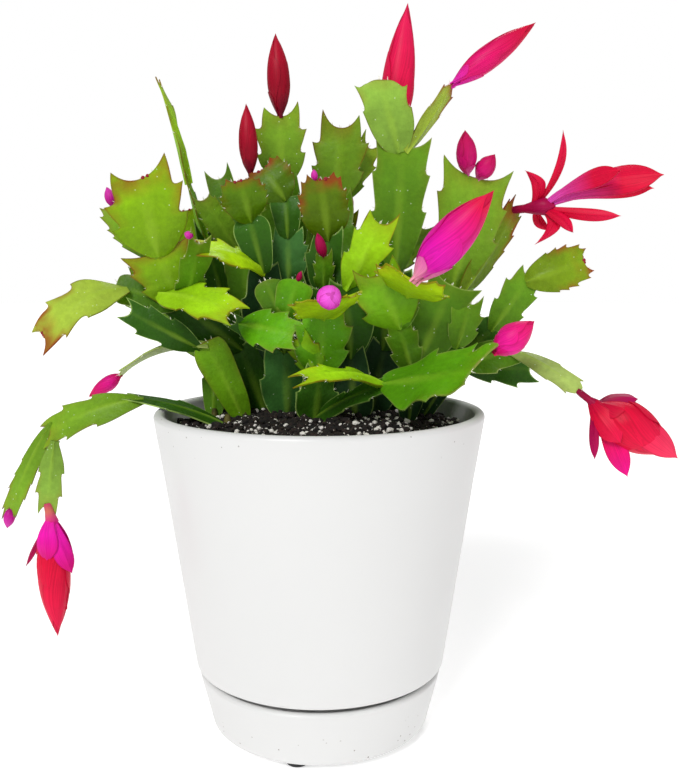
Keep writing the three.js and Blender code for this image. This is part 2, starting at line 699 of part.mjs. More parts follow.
// Edge of one half of a petal as [along, across], and its faces
const PETAL_EDGE = [[0, 0.3], [0.38, 0.78], [0.72, 1]];
const PETAL_RIB = [0, 0.38, 0.72];
function petalSolid(frame, width, bow) {
  const positions = [];
  const triangles = [];
  const cup = -0.12;
  const put = (u, v, lift) => {
    const point = bladePoint(frame, width, bow, cup, u, v, lift);
    positions.push(point.x, point.y, point.z);
    return positions.length / 3 - 1;
  };
  const half = PETAL_THICKNESS / 2;
  const rows = [1, -1].map((face) => ({
    left: PETAL_EDGE.map(([u, v]) => put(u, v, face * half)),
    rib: PETAL_RIB.map((u) => put(u, 0, face * half * 1.5)),
    right: PETAL_EDGE.map(([u, v]) => put(u, -v, face * half)),
    tip: put(1, 0, face * half),
  }));
  const addFace = (corners, flip) => {
    triangles.push(...(flip ? [corners[0], corners[2], corners[1]] : corners));
  };
  rows.forEach(({ left, rib, right, tip }, k) => {
    for (let i = 0; i + 1 < rib.length; i++) {
      addFace([rib[i], left[i], left[i + 1]], k === 1);
      addFace([rib[i], left[i + 1], rib[i + 1]], k === 1);
      addFace([rib[i], right[i + 1], right[i]], k === 1);
      addFace([rib[i], rib[i + 1], right[i + 1]], k === 1);
    }
    const last = rib.length - 1;
    addFace([rib[last], left[last], tip], k === 1);
    addFace([rib[last], tip, right[last]], k === 1);
  });
  const loops = rows.map(({ left, rib, right, tip }) => [rib[0], ...left, tip, ...[...right].reverse()]);
  for (let i = 0; i < loops[0].length; i++) {
    const next = (i + 1) % loops[0].length;
    addFace([loops[0][i], loops[1][next], loops[0][next]], false);
    addFace([loops[0][i], loops[1][i], loops[1][next]], false);
  }
  return solidOf(positions, triangles);
}

function bloom(end, { tube, radius, petals }) {
  const tubeEnd = new THREE.Vector3(...tube);
  const direction = tubeEnd.clone().sub(end.tip).normalize();
  const from = end.tip.clone().addScaledVector(direction, SEAT_GAP);
  const length = from.distanceTo(tubeEnd);
  const [thin, thick] = radius;
  const profile = [[0, 0], [thin * 0.7, 0], [thin, length * 0.3], [thick, length], [0, length + thick]];
  const pieces = [closedSolid(aimed(turned(profile, BUD_SIDES), from, tubeEnd))];
  for (const [x, y, z, width, start, bow] of petals) {
    const tip = new THREE.Vector3(x, y, z);
    const root = from.clone().addScaledVector(direction, length * start * 0.9);
    const away = tip.clone().sub(root).normalize();
    const outward = tip.clone().sub(tubeEnd);
    outward.addScaledVector(direction, -outward.dot(direction));
    const face = outward.lengthSq() > 1 ? outward.normalize() : new THREE.Vector3(0, -1, 0);
    face.addScaledVector(direction, -face.dot(away));
    pieces.push(petalSolid(bladeFrame(root, tip, face), width, bow));
  }
  return fused(pieces);
}

const plant = new THREE.Group();

function place(name, solid, look) {
  const mesh = new THREE.Mesh(geometryOf(solid), new THREE.MeshStandardMaterial(look));
  mesh.name = name;
  plant.add(mesh);
}

place('pot', pot(), GLAZE_WHITE);
place('saucer', saucer(), GLAZE_WHITE);
RUBBER_FOOT_NAMES.forEach((name, index) => place(name, rubberFoot(index), RUBBER_BLACK));
place('soil', soil(Object.values(STEMS).map(({ foot }) => foot)), SOIL_DARK);

const ends = {};
Object.keys(STEMS).forEach((name, index) => {
  const stem = leafyStem(name, 101 + 37 * index);
  ends[name] = stem.ends;
  place(name, stem.solid, LEAF_GREEN);
});
for (const [name, [stem, segment, x, y, z, radius, side]] of Object.entries(BUDS)) {
  place(name, bud(ends[stem][segment], new THREE.Vector3(x, y, z), radius, side), BUD_PINK);
}
for (const [name, flower] of Object.entries(BLOOMS)) {
  const [stem, segment] = flower.on;
  place(name, bloom(ends[stem][segment], flower), PETAL_RED);
}

export default plant;
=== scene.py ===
"""Potted christmas cactus in bud, in a white glazed pot on its saucer.

Metres, +Z up, +Y away from the camera, origin on the floor under the pot's axis.
Plant measures are in millimetres, as a grower would give them, and pass through mm().
"""

import json
import math
import random
from collections import namedtuple

import bmesh
import bpy
import numpy as np
from mathutils import Matrix, Vector, noise

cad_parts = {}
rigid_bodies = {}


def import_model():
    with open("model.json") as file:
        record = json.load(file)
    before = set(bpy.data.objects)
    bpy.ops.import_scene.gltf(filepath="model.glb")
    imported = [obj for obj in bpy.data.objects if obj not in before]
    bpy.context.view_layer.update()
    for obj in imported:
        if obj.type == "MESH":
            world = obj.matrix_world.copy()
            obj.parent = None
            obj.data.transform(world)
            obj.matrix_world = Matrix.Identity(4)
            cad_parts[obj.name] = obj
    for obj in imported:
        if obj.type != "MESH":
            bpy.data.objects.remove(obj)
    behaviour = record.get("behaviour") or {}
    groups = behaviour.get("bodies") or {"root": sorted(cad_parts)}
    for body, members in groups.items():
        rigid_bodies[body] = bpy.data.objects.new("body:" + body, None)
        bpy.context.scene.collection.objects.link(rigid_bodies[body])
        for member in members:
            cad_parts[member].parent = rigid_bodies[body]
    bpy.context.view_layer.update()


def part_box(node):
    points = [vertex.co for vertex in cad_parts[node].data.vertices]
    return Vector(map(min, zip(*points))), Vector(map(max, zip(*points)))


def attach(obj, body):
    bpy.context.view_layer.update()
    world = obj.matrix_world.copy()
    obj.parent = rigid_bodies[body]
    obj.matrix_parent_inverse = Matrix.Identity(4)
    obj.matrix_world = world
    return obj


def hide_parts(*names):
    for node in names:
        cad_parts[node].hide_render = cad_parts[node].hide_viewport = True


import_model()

# Pot, saucer and rubber feet, in millimetres
ROUND_SIDES = 128
SAUCER_BOTTOM = 2.5
SAUCER_TOP = 27.3
SAUCER_RIM_RADIUS = 52.6
SAUCER_BOTTOM_RADIUS = 47.6
SAUCER_EDGE_ROUND = 3.2
SAUCER_EDGE_MARGIN = 6
SAUCER_WALL = 3.5
SAUCER_FLOOR_TOP = 6.2
SAUCER_FLOOR_ROUND = 2
POT_BOTTOM = 6.5
POT_FLOOR_TOP = 11.1
POT_TOP = 139.6
POT_RIM_RADIUS = 70
POT_RING_DEPTH = 30
POT_WALL = 4.4
POT_WALL_END = 30.9
POT_WALL_END_RADIUS = 54.1
POT_STEP_ROUND = 1.1
POT_SLOPE_WIDTH = 3
POT_SLOPE_RISE = 4
POT_FOOT_RADIUS = 42
POT_FOOT_ROUND = 1
DRAIN_RADIUS = 6
RUBBER_FEET = ("foot_front", "foot_right", "foot_back", "foot_left")
RUBBER_SIDES = 40
RUBBER_INSET = 0.35
RUBBER_ROUND = 0.5
MERGE_DISTANCE = 0.01

# Soil: its mound, the lumps and crumbs of its surface, and the grains strewn over it
SOIL_EDGE = 131
SOIL_MOUND = 4.4
SOIL_GAP = 0.3
SOIL_SLOPE_GAP = 0.5
SOIL_SIDES = 120
SOIL_RINGS = 30
LUMP_SCALE = 0.16
LUMP_RISE = 1.9
LUMP_LAYER = 3.7
CRUMB_SCALE = 0.7
CRUMB_RISE = 0.7
CRUMB_LAYER = 9.1
CLOD_MARGIN = 6
CLOD_EDGE_SHARE = 0.35
GRAIN_SEED = 4
GRAIN_MARGIN = 0.6
GRAIN_TILT = 0.7
GRAIN_LENGTHS = (0.8, 1.3)
GRAIN_RARITY = 3

# Segments: how they sink into each other, and their shape across and along
FOOT_RISE = 4
FOOT_DEPTH = 8
SUNK = 2.2
SEGMENT_COLUMNS = 8
NECK_HALF_WIDTH = 2.2
NECK_LENGTH = 0.16
EDGE_HALF_THICKNESS = 0.28
RIB_HALF_THICKNESS = ((0, 0.22, 0.5, 0.8, 1), (1.3, 1.6, 1.4, 1.0, 0.5))
LENS_POWER = 1.15
RIDGE_HEIGHT = 0.6
RIDGE_WIDTH = 0.14
SEGMENT_CUP = 0.05

# Soft random swings, as waves of several paces
WAVES_EACH = 4
WAVE_PACES = (2, 9)
WAVE_HEIGHTS = (0.3, 1)
WAVES_SUM = 2.6
GREATEST_TURN = 6.28

# How uneven the segments are, and what is added to a segment's seed for each kind of draw
WIDTH_SWING = 0.09
EDGE_SWING = 0.035
EDGE_WAVE = 0.07
HORN_START = 0.85
HORN_LENGTH = 0.3
HORN_SWING = (-0.06, 0.1)
GREATEST_TWIST = 0.12
LIGHT_SWING = (0.88, 1.12)
BLUSH_SWING = (0.7, 1.2)
SEEDS_PER_STEM = 40
BRISTLE_DRAW = 0.25
COLOUR_DRAW = 0.5
NUB_DRAW = 0.75

# Woody feet, as (radius, height above the soil), and the bristles
WOODY_PROFILE = ((1.7, -FOOT_DEPTH), (1.9, -2), (1.8, 0), (1.4, 2), (0.9, FOOT_RISE))
WOODY_SIDES = 16
WOODY_COLOUR = (44, 52, 26)
BRISTLES_EACH = 2
BRISTLE_ROOT = 0.3
BRISTLE_LENGTHS = (0.9, 2.4)
BRISTLE_FORWARDS = (0.5, 1.3)
BRISTLE_SIDEWAYS = (0.2, 1.6)
BRISTLE_OUTWARDS = (-0.9, 0.9)
BRISTLE_DROOP = 0.25
BRISTLE_PROFILE = ((0.16, 0), (0.12, 0.5), (0.02, 1))

# Young segments whose end carries the reddish beginnings of buds, as (share of width, column)
BUDDING_TONES = ("fresh", "flushed", "tinted", "pale", "olive")
NUBS_EACH = 3
NUB_PLACES = ((-0.2, -0.3), (-0.06, -0.1), (0.05, 0.08), (0.17, 0.26))
NUB_SIZES = (0.45, 0.95)
NUB_COLOUR = (150, 40, 52)

# Buds: how deep they sit, how a segment's end rises under them, where they are widest and close, and
# how slender their neck, their point and their inner core are
SEAT_GAP = 0.9
NOTCH_SHARE = 0.36
HORN_SLOPE = 0.28
BUD_WIDEST = 0.42
BUD_NECK = 0.2
BUD_POINT = 1.15
CLOSING_START = 0.7
CORE_SIDES = 20
CORE_FULLNESS = 0.9
CORE_SHARES = (0.002, 0.03, 0.08, 0.15, 0.25, 0.4, 0.55, 0.7, 0.85, 0.93, 0.97, 0.999)

# Furled petals of a bud: turn, start and end along the bud, half span, in degrees and shares
FURLED = (
    (20, 0.1, 0.97, 92), (140, 0.1, 0.96, 92), (260, 0.1, 0.95, 92),
    (80, 0.06, 0.74, 62), (205, 0.05, 0.66, 58), (325, 0.04, 0.56, 54),
    (50, 0.0, 0.32, 48), (170, 0.0, 0.28, 46), (290, 0.0, 0.24, 46),
)
LAP_ACROSS = 0.05
LAP_LAYER = 0.03
FURLED_RIB = 0.03
FURLED_THICKNESS = 0.4
FURLED_TWISTS = (0.5, 0.9)
POINT_THINNESS = 0.3
LEAST_REACH = 0.08
PETAL_COLUMNS = 6
PETAL_RIB_WIDTH = 0.12

# Free petals, and the width of the open flower's long ones along their length against a plain petal
PETAL_HALF_THICKNESS = 0.3
PETAL_THINNING = 0.6
PETAL_WAVE = 0.05
PETAL_KEEL = 0.4
PETAL_FOLD = 0.16
HOOK_START = 0.6
THROAT_WIDTHS = ((0, 0.3, 0.6, 1), (0.8, 0.55, 0.9, 1.15))
BODY_START = 0.55
PETAL_SEAT = 0.9
SEEDS_PER_PETAL = 7

# How far up the base colour reaches: on a bud's long, middle and short petals, and on free ones, and
# where the tip's colour takes over
BASE_REACH = (0.14, 0.2, 0.34)
PETAL_BASE_REACH = 0.4
THROAT_BASE_REACH = 0.68
TIP_COLOUR_START = 0.35
TIP_COLOUR_REACH = 0.5

# Camera of the photograph, and how bright the surroundings and the floor are
CAMERA_PLACE = (0.0085, -0.382, 0.1964)
CAMERA_TILT_DOWN = 7.15
FOCAL_SHARE = 900 / 775
SENSOR = 36
WORLD_LIGHT = 0.36
FLOOR_GLOW = 0.3

# Mirror share of the surfaces, heights in metres over which dirt on the glaze grows, and petal streaks
PLAIN_GLOSS = 0.5
WAXY_GLOSS = 0.12
DIRT_NEAR_FLOOR = (0.022, 0.003)
DIRT_NEAR_SOIL = (0.126, 0.133)
STREAKS = (26.0, 1.6, 1.0)

# Skin tones of the segments as sRGB, with how much red shows at the margin. Two of them hold painted shade
# and painted light, as noted beside them
TONES = {
    # Near black green: partly the low old segments' own dark green, partly painted shade where they lie deep
    # inside the plant
    "shade": ((36, 66, 34), 0.0),
    "dark": ((48, 90, 16), 0.0),
    "mid": ((76, 120, 18), 0.1),
    "teal": ((62, 112, 48), 0.0),
    "green": ((90, 136, 24), 0.15),
    "leaf": ((112, 154, 34), 0.25),
    "fresh": ((116, 157, 12), 0.6),
    "bright": ((96, 168, 14), 0.15),
    "yellow": ((168, 212, 16), 0.5),
    # The yellow tone made lighter as painted light, for upturned segment ends that the lamps leave in shade
    "sunny": ((190, 232, 30), 0.35),
    "lime": ((150, 200, 24), 0.4),
    "lush": ((86, 148, 16), 0.15),
    "grassy": ((112, 166, 22), 0.3),
    "olive": ((112, 142, 20), 0.8),
    "grey": ((128, 166, 60), 0.3),
    "ashen": ((150, 172, 88), 0.1),
    "pale": ((154, 180, 58), 1.0),
    "flushed": ((82, 118, 8), 0.85),
    "tinted": ((80, 108, 6), 1.2),
}

# The leafy stems, with most places as in the solids and some moved a few mm towards the photograph.
# Each has its foot on the soil as (x, y), then its segments: name, the one that it grows from, tip,
# width and tone, and where they aren't 0 the way that its face looks, its arch, and how far to the side
# of the one below it starts
Segment = namedtuple("Segment", "part parent x y z width tone azimuth elevation arch side",
                     defaults=(0, 0, 0, 0))
STEMS = {
    "stem_trailing_left": ((-39, -5), (
        ("low", "foot", -77, 0, 143.5, 9, "dark", 0, 75, 1.5),
        ("broad", "low", -116, 0, 129, 15.5, "leaf", 0, 40, 4),
        ("outer", "broad", -134.5, 0, 95, 10, "leaf", -12, 15, 2, 0.5),
        ("inner", "broad", -117, -4, 98, 10.5, "grey", 10, 5, 1, -0.7),
    )),
    "stem_lower_left": ((-34, 14), (
        ("thick", "foot", -49, 6, 168, 15, "grassy", 10, 5),
        ("dark", "thick", -80, 0, 180.5, 13, "dark", -5, 10, 1, -0.5),
        ("arching", "thick", -89, 16, 152, 14, "ashen", 0, 84, 5),
    )),
    "stem_upper_left": ((-25, 26), (
        ("low", "foot", -36, 20, 165, 15, "dark", 10),
        ("hidden", "low", -62, 14, 184, 17, "dark", 0, 10),
        ("bottom", "hidden", -69, 6, 206, 29, "fresh", 0, 10, 1),
        ("big", "bottom", -74, 0, 236, 33, "fresh", -5, 5, 1),
        ("behind", "bottom", -89, 13, 226, 19, "leaf", -15),
        ("folded", "hidden", -49, -9, 209, 13, "green", 25, 10, 1),
        ("arm", "hidden", -89, 12, 191, 14, "mid", 0, 20, 1),
        ("drooping", "arm", -117, 0, 170.5, 20.5, "pale", -10, 42, 6),
        ("forward", "hidden", -36, -14, 181, 20, "lime", 5, 46, 2),
    )),
    "stem_slim_left": ((-39, 30), (
        ("low", "foot", -43, 34, 171, 13, "dark"),
        ("middle", "low", -53, 33, 214, 13, "dark", 40),
        ("slim", "middle", -60, 32, 239, 9, "grassy", 86),
        ("top", "slim", -70, 28, 278, 9, "lime", 86, 0, 1),
    )),
    "stem_left_back": ((-26, 38), (
        ("low", "foot", -32, 41, 176, 14, "dark"),
        ("middle", "low", -37, 38, 207, 16, "mid"),
        ("left", "middle", -51, 21, 229, 13, "leaf", -10, 20, 1),
        ("right", "middle", -47, 42, 240, 16, "mid"),
    )),
    "stem_centre_left": ((-14, 26), (
        ("low", "foot", -27, 18, 170, 15, "shade"),
        ("middle", "low", -24, 10, 199, 16, "shade", 0, 5),
        ("round", "middle", -30, 8, 221, 15, "dark", 0, 0, 1),
        ("tinted", "round", -33, 0, 235, 20, "flushed", 0, 35, 1),
        ("yellow", "middle", -48, -2, 207, 16, "yellow", 0, 55, 2),
    )),
    "stem_centre_back": ((-2, 27), (
        ("low", "foot", -13, 26, 171, 14, "shade"),
        ("middle", "low", -14, 20, 194, 17, "dark"),
        ("pale", "middle", -14, 16, 214, 17, "teal", 0, 5, 1),
        ("round", "pale", -15, 18, 230, 13, "dark", 0, 0, 1),
        ("tinted", "round", -25, 20, 242, 21, "flushed", 0, 10, 1),
    )),
    "stem_tall_left": ((-9, 40), (
        ("low", "foot", -13, 40, 170, 14, "shade"),
        ("middle", "low", -15, 40, 205, 18, "dark"),
        ("upper", "middle", -18, 38, 238, 18, "mid"),
        ("top", "upper", -18, 35, 267, 21, "leaf", 5, 0, 1),
    )),
    "stem_tall_back": ((6, 38), (
        ("low", "foot", 1, 48, 170, 15, "shade"),
        ("middle", "low", 4, 50, 202, 18, "dark"),
        ("upper", "middle", 7, 50, 231, 18, "mid"),
        ("left_top", "upper", 9, 48, 264, 24, "leaf", 0, 0, 1),
        ("right_top", "upper", 22, 55, 256, 14, "leaf", 20),
    )),
    "stem_tinted_middle": ((4, 15), (
        ("low", "foot", 1, 14, 164, 15, "shade"),
        ("middle", "low", 2, 8, 190, 15, "dark"),
        ("upper", "middle", 4, 3, 213, 16, "dark"),
        ("tinted", "upper", 1, -6, 235, 21, "tinted", 0, 10, 1),
        ("small", "middle", 2, -3, 204, 9, "mid", 0, 15),
    )),
    "stem_yellow_middle": ((16, 5), (
        ("low", "foot", 13, 3, 163, 14, "shade"),
        ("middle", "low", 11, -4, 192, 15, "dark"),
        ("bright", "middle", 25, -10, 217, 17, "lime", 20, 10, 1),
    )),
    "stem_tall_centre": ((22, 20), (
        ("low", "foot", 29, 20, 165, 15, "shade"),
        ("middle", "low", 33, 14, 198, 20, "dark"),
        ("upright", "middle", 35, 9, 250, 24.5, "green", 0, 3),
        ("top", "upright", 25, 1, 276, 20.5, "grey", -5, 0, 1, -0.1),
        ("slim", "upright", 56, 12, 276, 9.5, "pale", 66, 10, 0, 0.1),
    )),
    "stem_tall_right": ((34, 27), (
        ("low", "foot", 45, 28, 165, 16, "shade"),
        ("middle", "low", 60, 24, 190, 18, "dark"),
        ("broad", "middle", 68, 17, 238, 30.5, "leaf", -5, 0, 1),
        ("side", "middle", 86, 26, 225, 15, "olive", 40, 0, 1, 0.4),
    )),
    "stem_right_dark": ((38, 3), (
        ("low", "foot", 40, 1, 157, 12, "shade"),
        ("broad", "low", 56, 1, 192, 24, "mid", 0, 0, 1),
        ("branch", "low", 60, 0, 166, 10, "dark", 0, 50),
        ("side", "branch", 64, 1, 184, 13, "green"),
        ("inner", "low", 33, -8, 176, 13, "mid", -10, 10),
        ("left", "inner", 24, -16, 196, 24, "grassy", -10, 10, 1),
        ("link", "inner", 37, -12, 190, 10, "mid", 0, 20),
        ("end_on", "link", 37, -36, 194, 30, "sunny", 90, 72),
    )),
    "stem_front_centre": ((-3, -1), (
        ("lying", "foot", 28, -18, 152, 12, "dark", 10, 50, 2),
        ("bright", "lying", 59.5, -36, 159.5, 33, "lush", -44, 54, -1),
        ("curved", "lying", -4, -28, 156, 13, "lime", 0, 72, 3),
        ("low", "foot", 0, -2, 155, 16, "dark"),
        ("wedge", "low", 2, -10, 181, 22, "lush", 0, 5, 1),
        ("end_on", "wedge", 4, -34, 187, 29, "sunny", -90, 80),
        ("small", "low", -8, -8, 170, 13, "grassy", -20, 10),
    )),
    "stem_low_centre": ((-15, 14), (
        ("low", "foot", -15, 5, 165, 17, "teal", -10, 5, 1),
        ("stalk", "low", -36, 4, 176, 9, "dark"),
        ("bright", "stalk", -10.5, -9, 171.5, 18, "bright", -5, 25, 1),
        ("middle", "low", -15, 5, 178, 15, "dark"),
        ("round_left", "middle", -23, 3, 194, 13, "mid", 0, 0, 1),
        ("round_right", "middle", -9, 1, 194, 15, "lush", 0, 0, 1),
    )),
    "stem_right_outer": ((44, 26), (
        ("low", "foot", 64, 18, 163, 12, "shade", 0, 10),
        ("middle", "low", 77, 16, 173, 14, "dark"),
        ("lower", "middle", 91, 14, 195, 15, "green", 0, 0, 1),
        ("end", "lower", 114, 10, 202, 19, "olive", 0, 5, 1),
    )),
    "stem_right_low": ((43, 14), (
        ("low", "foot", 60, 8, 160, 12, "shade", 0, 20),
        ("dark", "low", 92, 12, 155, 15, "dark", 0, 10, 1),
        ("hidden", "low", 84, -3, 164, 11, "mid", 0, 20),
        ("hanging", "hidden", 105, -22, 149.5, 10, "ashen", 20, 35, 2),
    )),
    "stem_back_left": ((-36, 45), (
        ("low", "foot", -46, 46, 168, 13, "dark", 190),
        ("leaf", "low", -57, 48, 196, 20, "mid", 190, 5, 1),
        ("top", "leaf", -64, 46, 226, 23, "fresh", 195, 5, 1),
    )),
    "stem_back_centre_left": ((-18, 52), (
        ("low", "foot", -22, 55, 168, 14, "dark", 180),
        ("leaf", "low", -28, 58, 198, 21, "mid", 180, 5, 1),
        ("top", "leaf", -25, 56, 230, 22, "leaf", 175, 0, 1),
        ("side", "leaf", -45, 62, 219, 17, "bright", 195, 10, 1),
    )),
    "stem_back_centre": ((3, 53), (
        ("low", "foot", 5, 60, 168, 14, "dark", 180),
        ("leaf", "low", 3, 62, 199, 20, "mid", 180, 5, 1),
        ("top", "leaf", -8, 62, 231, 21, "leaf", 180, 5, 1),
        ("side", "leaf", 11, 63, 225, 17, "fresh", 165, 5, 1),
    )),
    "stem_back_right": ((22, 44), (
        ("low", "foot", 24, 48, 168, 14, "dark", 170),
        ("leaf", "low", 28, 52, 197, 21, "mid", 170, 5, 1),
        ("top", "leaf", 36, 48, 229, 22, "leaf", 170, 5, 1),
        ("side", "leaf", 49, 58, 218, 17, "leaf", 150, 5, 1),
    )),
    "stem_back_far_right": ((40, 39), (
        ("low", "foot", 54, 42, 163, 12, "dark", 160, 5),
        ("leaf", "low", 66, 42, 190, 18, "mid", 160, 5, 1),
        ("top", "leaf", 70, 38, 222, 20, "leaf", 165, 5, 1),
    )),
    "stem_back_hanging": ((-27, 47), (
        ("low", "foot", -50, 60, 164, 11, "mid", 190, 20, 1),
        ("end", "low", -40, 65, 158, 8, "leaf", 180, 45),
    )),
    "stem_left_low": ((-48, 20), (
        ("low", "foot", -50, 34, 160, 12, "mid", 190, 20),
        ("leaf", "low", -70, 40, 177, 16, "leaf", 190, 20, 1),
        ("top", "leaf", -88, 34, 192, 17, "leaf", 190, 5, 1),
    )),
}

# Old segments near the soil, whose teeth have worn down to one a side, with how much fuller they grew
OLD_SEGMENTS = {
    "low": 1.4, "thick": 1.05, "middle": 1.4, "upper": 1.2, "hidden": 1.25, "link": 1.1, "branch": 1.1,
}
YOUNG_FULLNESS = 1.04

# Degrees that the inner segments and those at the back may turn from the face that the solids give them
INNER_TURN = 38
TURNED_SEGMENTS = ("low", "middle", "upper")

# Segments whose outline is neither the worn one of the old nor the toothed one of the young
OTHER_OUTLINES = {
    "crested": {
        ("stem_centre_left", "tinted"), ("stem_centre_back", "tinted"), ("stem_tinted_middle", "tinted"),
        ("stem_right_outer", "end"), ("stem_upper_left", "behind"),
        ("stem_tall_right", "side"), ("stem_front_centre", "end_on"), ("stem_right_dark", "end_on"),
        ("stem_back_centre_left", "side"), ("stem_back_left", "top"), ("stem_back_centre", "top"),
        ("stem_left_back", "left"), ("stem_trailing_left", "outer"),
    },
    "horned": {
        ("stem_tall_centre", "upright"), ("stem_tall_right", "broad"), ("stem_upper_left", "bottom"),
        ("stem_back_centre_left", "top"), ("stem_right_dark", "broad"), ("stem_back_right", "top"),
    },
    "stout": {
        ("stem_lower_left", "thick"), ("stem_upper_left", "arm"), ("stem_centre_left", "round"),
        ("stem_centre_back", "round"), ("stem_low_centre", "round_left"), ("stem_low_centre", "round_right"),
    },
    "shouldered": {
        ("stem_lower_left", "arching"), ("stem_tall_centre", "top"), ("stem_tall_centre", "slim"),
        ("stem_right_low", "hanging"),
    },
}

# Segments whose end runs slanting across them, with how far it slants
SLANTED = {
    ("stem_front_centre", "bright"): 0.45, ("stem_upper_left", "big"): -0.2,
    ("stem_tall_right", "broad"): 0.1, ("stem_tall_centre", "upright"): 0.1,
    ("stem_tall_centre", "top"): 0.35,
}

# Stems whose first segment stayed slender, so the rim shows beside it
SLENDER_STEMS = ("stem_right_outer", "stem_right_low", "stem_tall_right", "stem_right_dark", "stem_left_low")
SLENDER_SHARE = 0.66

# Colours of the flowers as sRGB at the base, middle and tip
FLOWER_TONES = {
    "crimson": ((84, 2, 28), (142, 4, 32), (166, 8, 40)),
    "pink": ((150, 6, 54), (212, 12, 66), (218, 24, 80)),
    "magenta": ((216, 40, 176), (214, 14, 104), (200, 12, 58)),
    "mauve": ((222, 100, 172), (204, 18, 112), (184, 12, 82)),
    "front": ((240, 160, 176), (216, 16, 164), (214, 16, 66)),
    "ball": ((206, 16, 150), (224, 30, 180), (232, 90, 214)),
    "orchid": ((130, 14, 84), (186, 26, 140), (206, 60, 168)),
    "rosy": ((190, 10, 70), (222, 20, 136), (218, 24, 104)),
    "throat": ((222, 84, 200), (212, 10, 58), (214, 12, 52)),
    "flame": ((206, 8, 54), (216, 18, 66), (232, 56, 92)),
    "red": ((184, 6, 54), (208, 8, 52), (216, 18, 66)),
    "hot": ((230, 36, 160), (230, 20, 168), (204, 8, 116)),
    "plum": ((104, 4, 50), (156, 4, 64), (168, 8, 80)),
    "berry": ((206, 8, 56), (218, 10, 74), (220, 12, 124)),
    "stalk": ((206, 74, 116), (222, 130, 104), (232, 30, 150)),
}

# Closed buds: stem, segment, tip, greatest radius and tone, and where it isn't 0 how far each stands to
# the side of the segment's end
Bud = namedtuple("Bud", "stem part x y z radius tone side", defaults=(0,))
BUDS = {
    "bud_tall_left": ("stem_tall_left", "top", -20, 35, 303, 4.8, "crimson"),
    "bud_dark_left": ("stem_centre_back", "tinted", -32, 20, 270, 3.8, "crimson", -0.55),
    "bud_tall_centre": ("stem_tall_centre", "upright", 37.3, 14, 310, 6.4, "pink"),
    "bud_leaning": ("stem_tall_centre", "slim", 91, 12, 301.5, 4.8, "magenta"),
    "bud_pair_left": ("stem_tall_right", "broad", 61, 5, 256.5, 4.1, "mauve", -0.28),
    "bud_pair_right": ("stem_tall_right", "broad", 75, 12, 247.5, 3.8, "mauve", 0.05),
    "bud_front": ("stem_right_dark", "end_on", 65, -47, 227, 7.4, "front"),
    "bud_ball": ("stem_front_centre", "end_on", 5.5, -42, 189, 4.4, "ball"),
    "bud_right": ("stem_front_centre", "bright", 84.5, -31, 178.5, 5.4, "rosy", -0.62),
    "bud_arching": ("stem_lower_left", "arching", -104, 18, 142, 3, "rosy"),
    "bud_trailing": ("stem_trailing_left", "outer", -136.5, 0, 86.5, 2.2, "orchid"),
    "bud_upper_left": ("stem_upper_left", "behind", -92, 14, 234, 2.2, "orchid"),
    "bud_folded": ("stem_upper_left", "folded", -54, -15, 213, 1.4, "orchid", -0.6),
    "bud_small": ("stem_tinted_middle", "small", -0.7, -9, 213.5, 2, "plum"),
    "bud_round": ("stem_low_centre", "round_right", -7.5, 0, 198, 1, "plum"),
    "bud_tinted": ("stem_tinted_middle", "tinted", -2, -8, 239, 1.2, "orchid", -0.25),
    "bud_back_left": ("stem_back_centre_left", "side", -53, 65, 234, 3.6, "pink"),
    "bud_back_centre": ("stem_back_centre", "side", 12, 66, 239, 3.6, "crimson"),
}

# Segments that grow from a notch instead of from the end of the one below, with the foot as x, y, z
NOTCH_FEET = {
    ("stem_upper_left", "forward"): (-69, 7, 187.5),
    ("stem_upper_left", "drooping"): (-83, 10, 190),
}

# Buds that stand behind their segment or on its corner instead of on its end, with the foot as x, y, z
BUD_FEET = {"bud_tall_centre": (30, 12, 249), "bud_right": (69.5, -29, 166)}

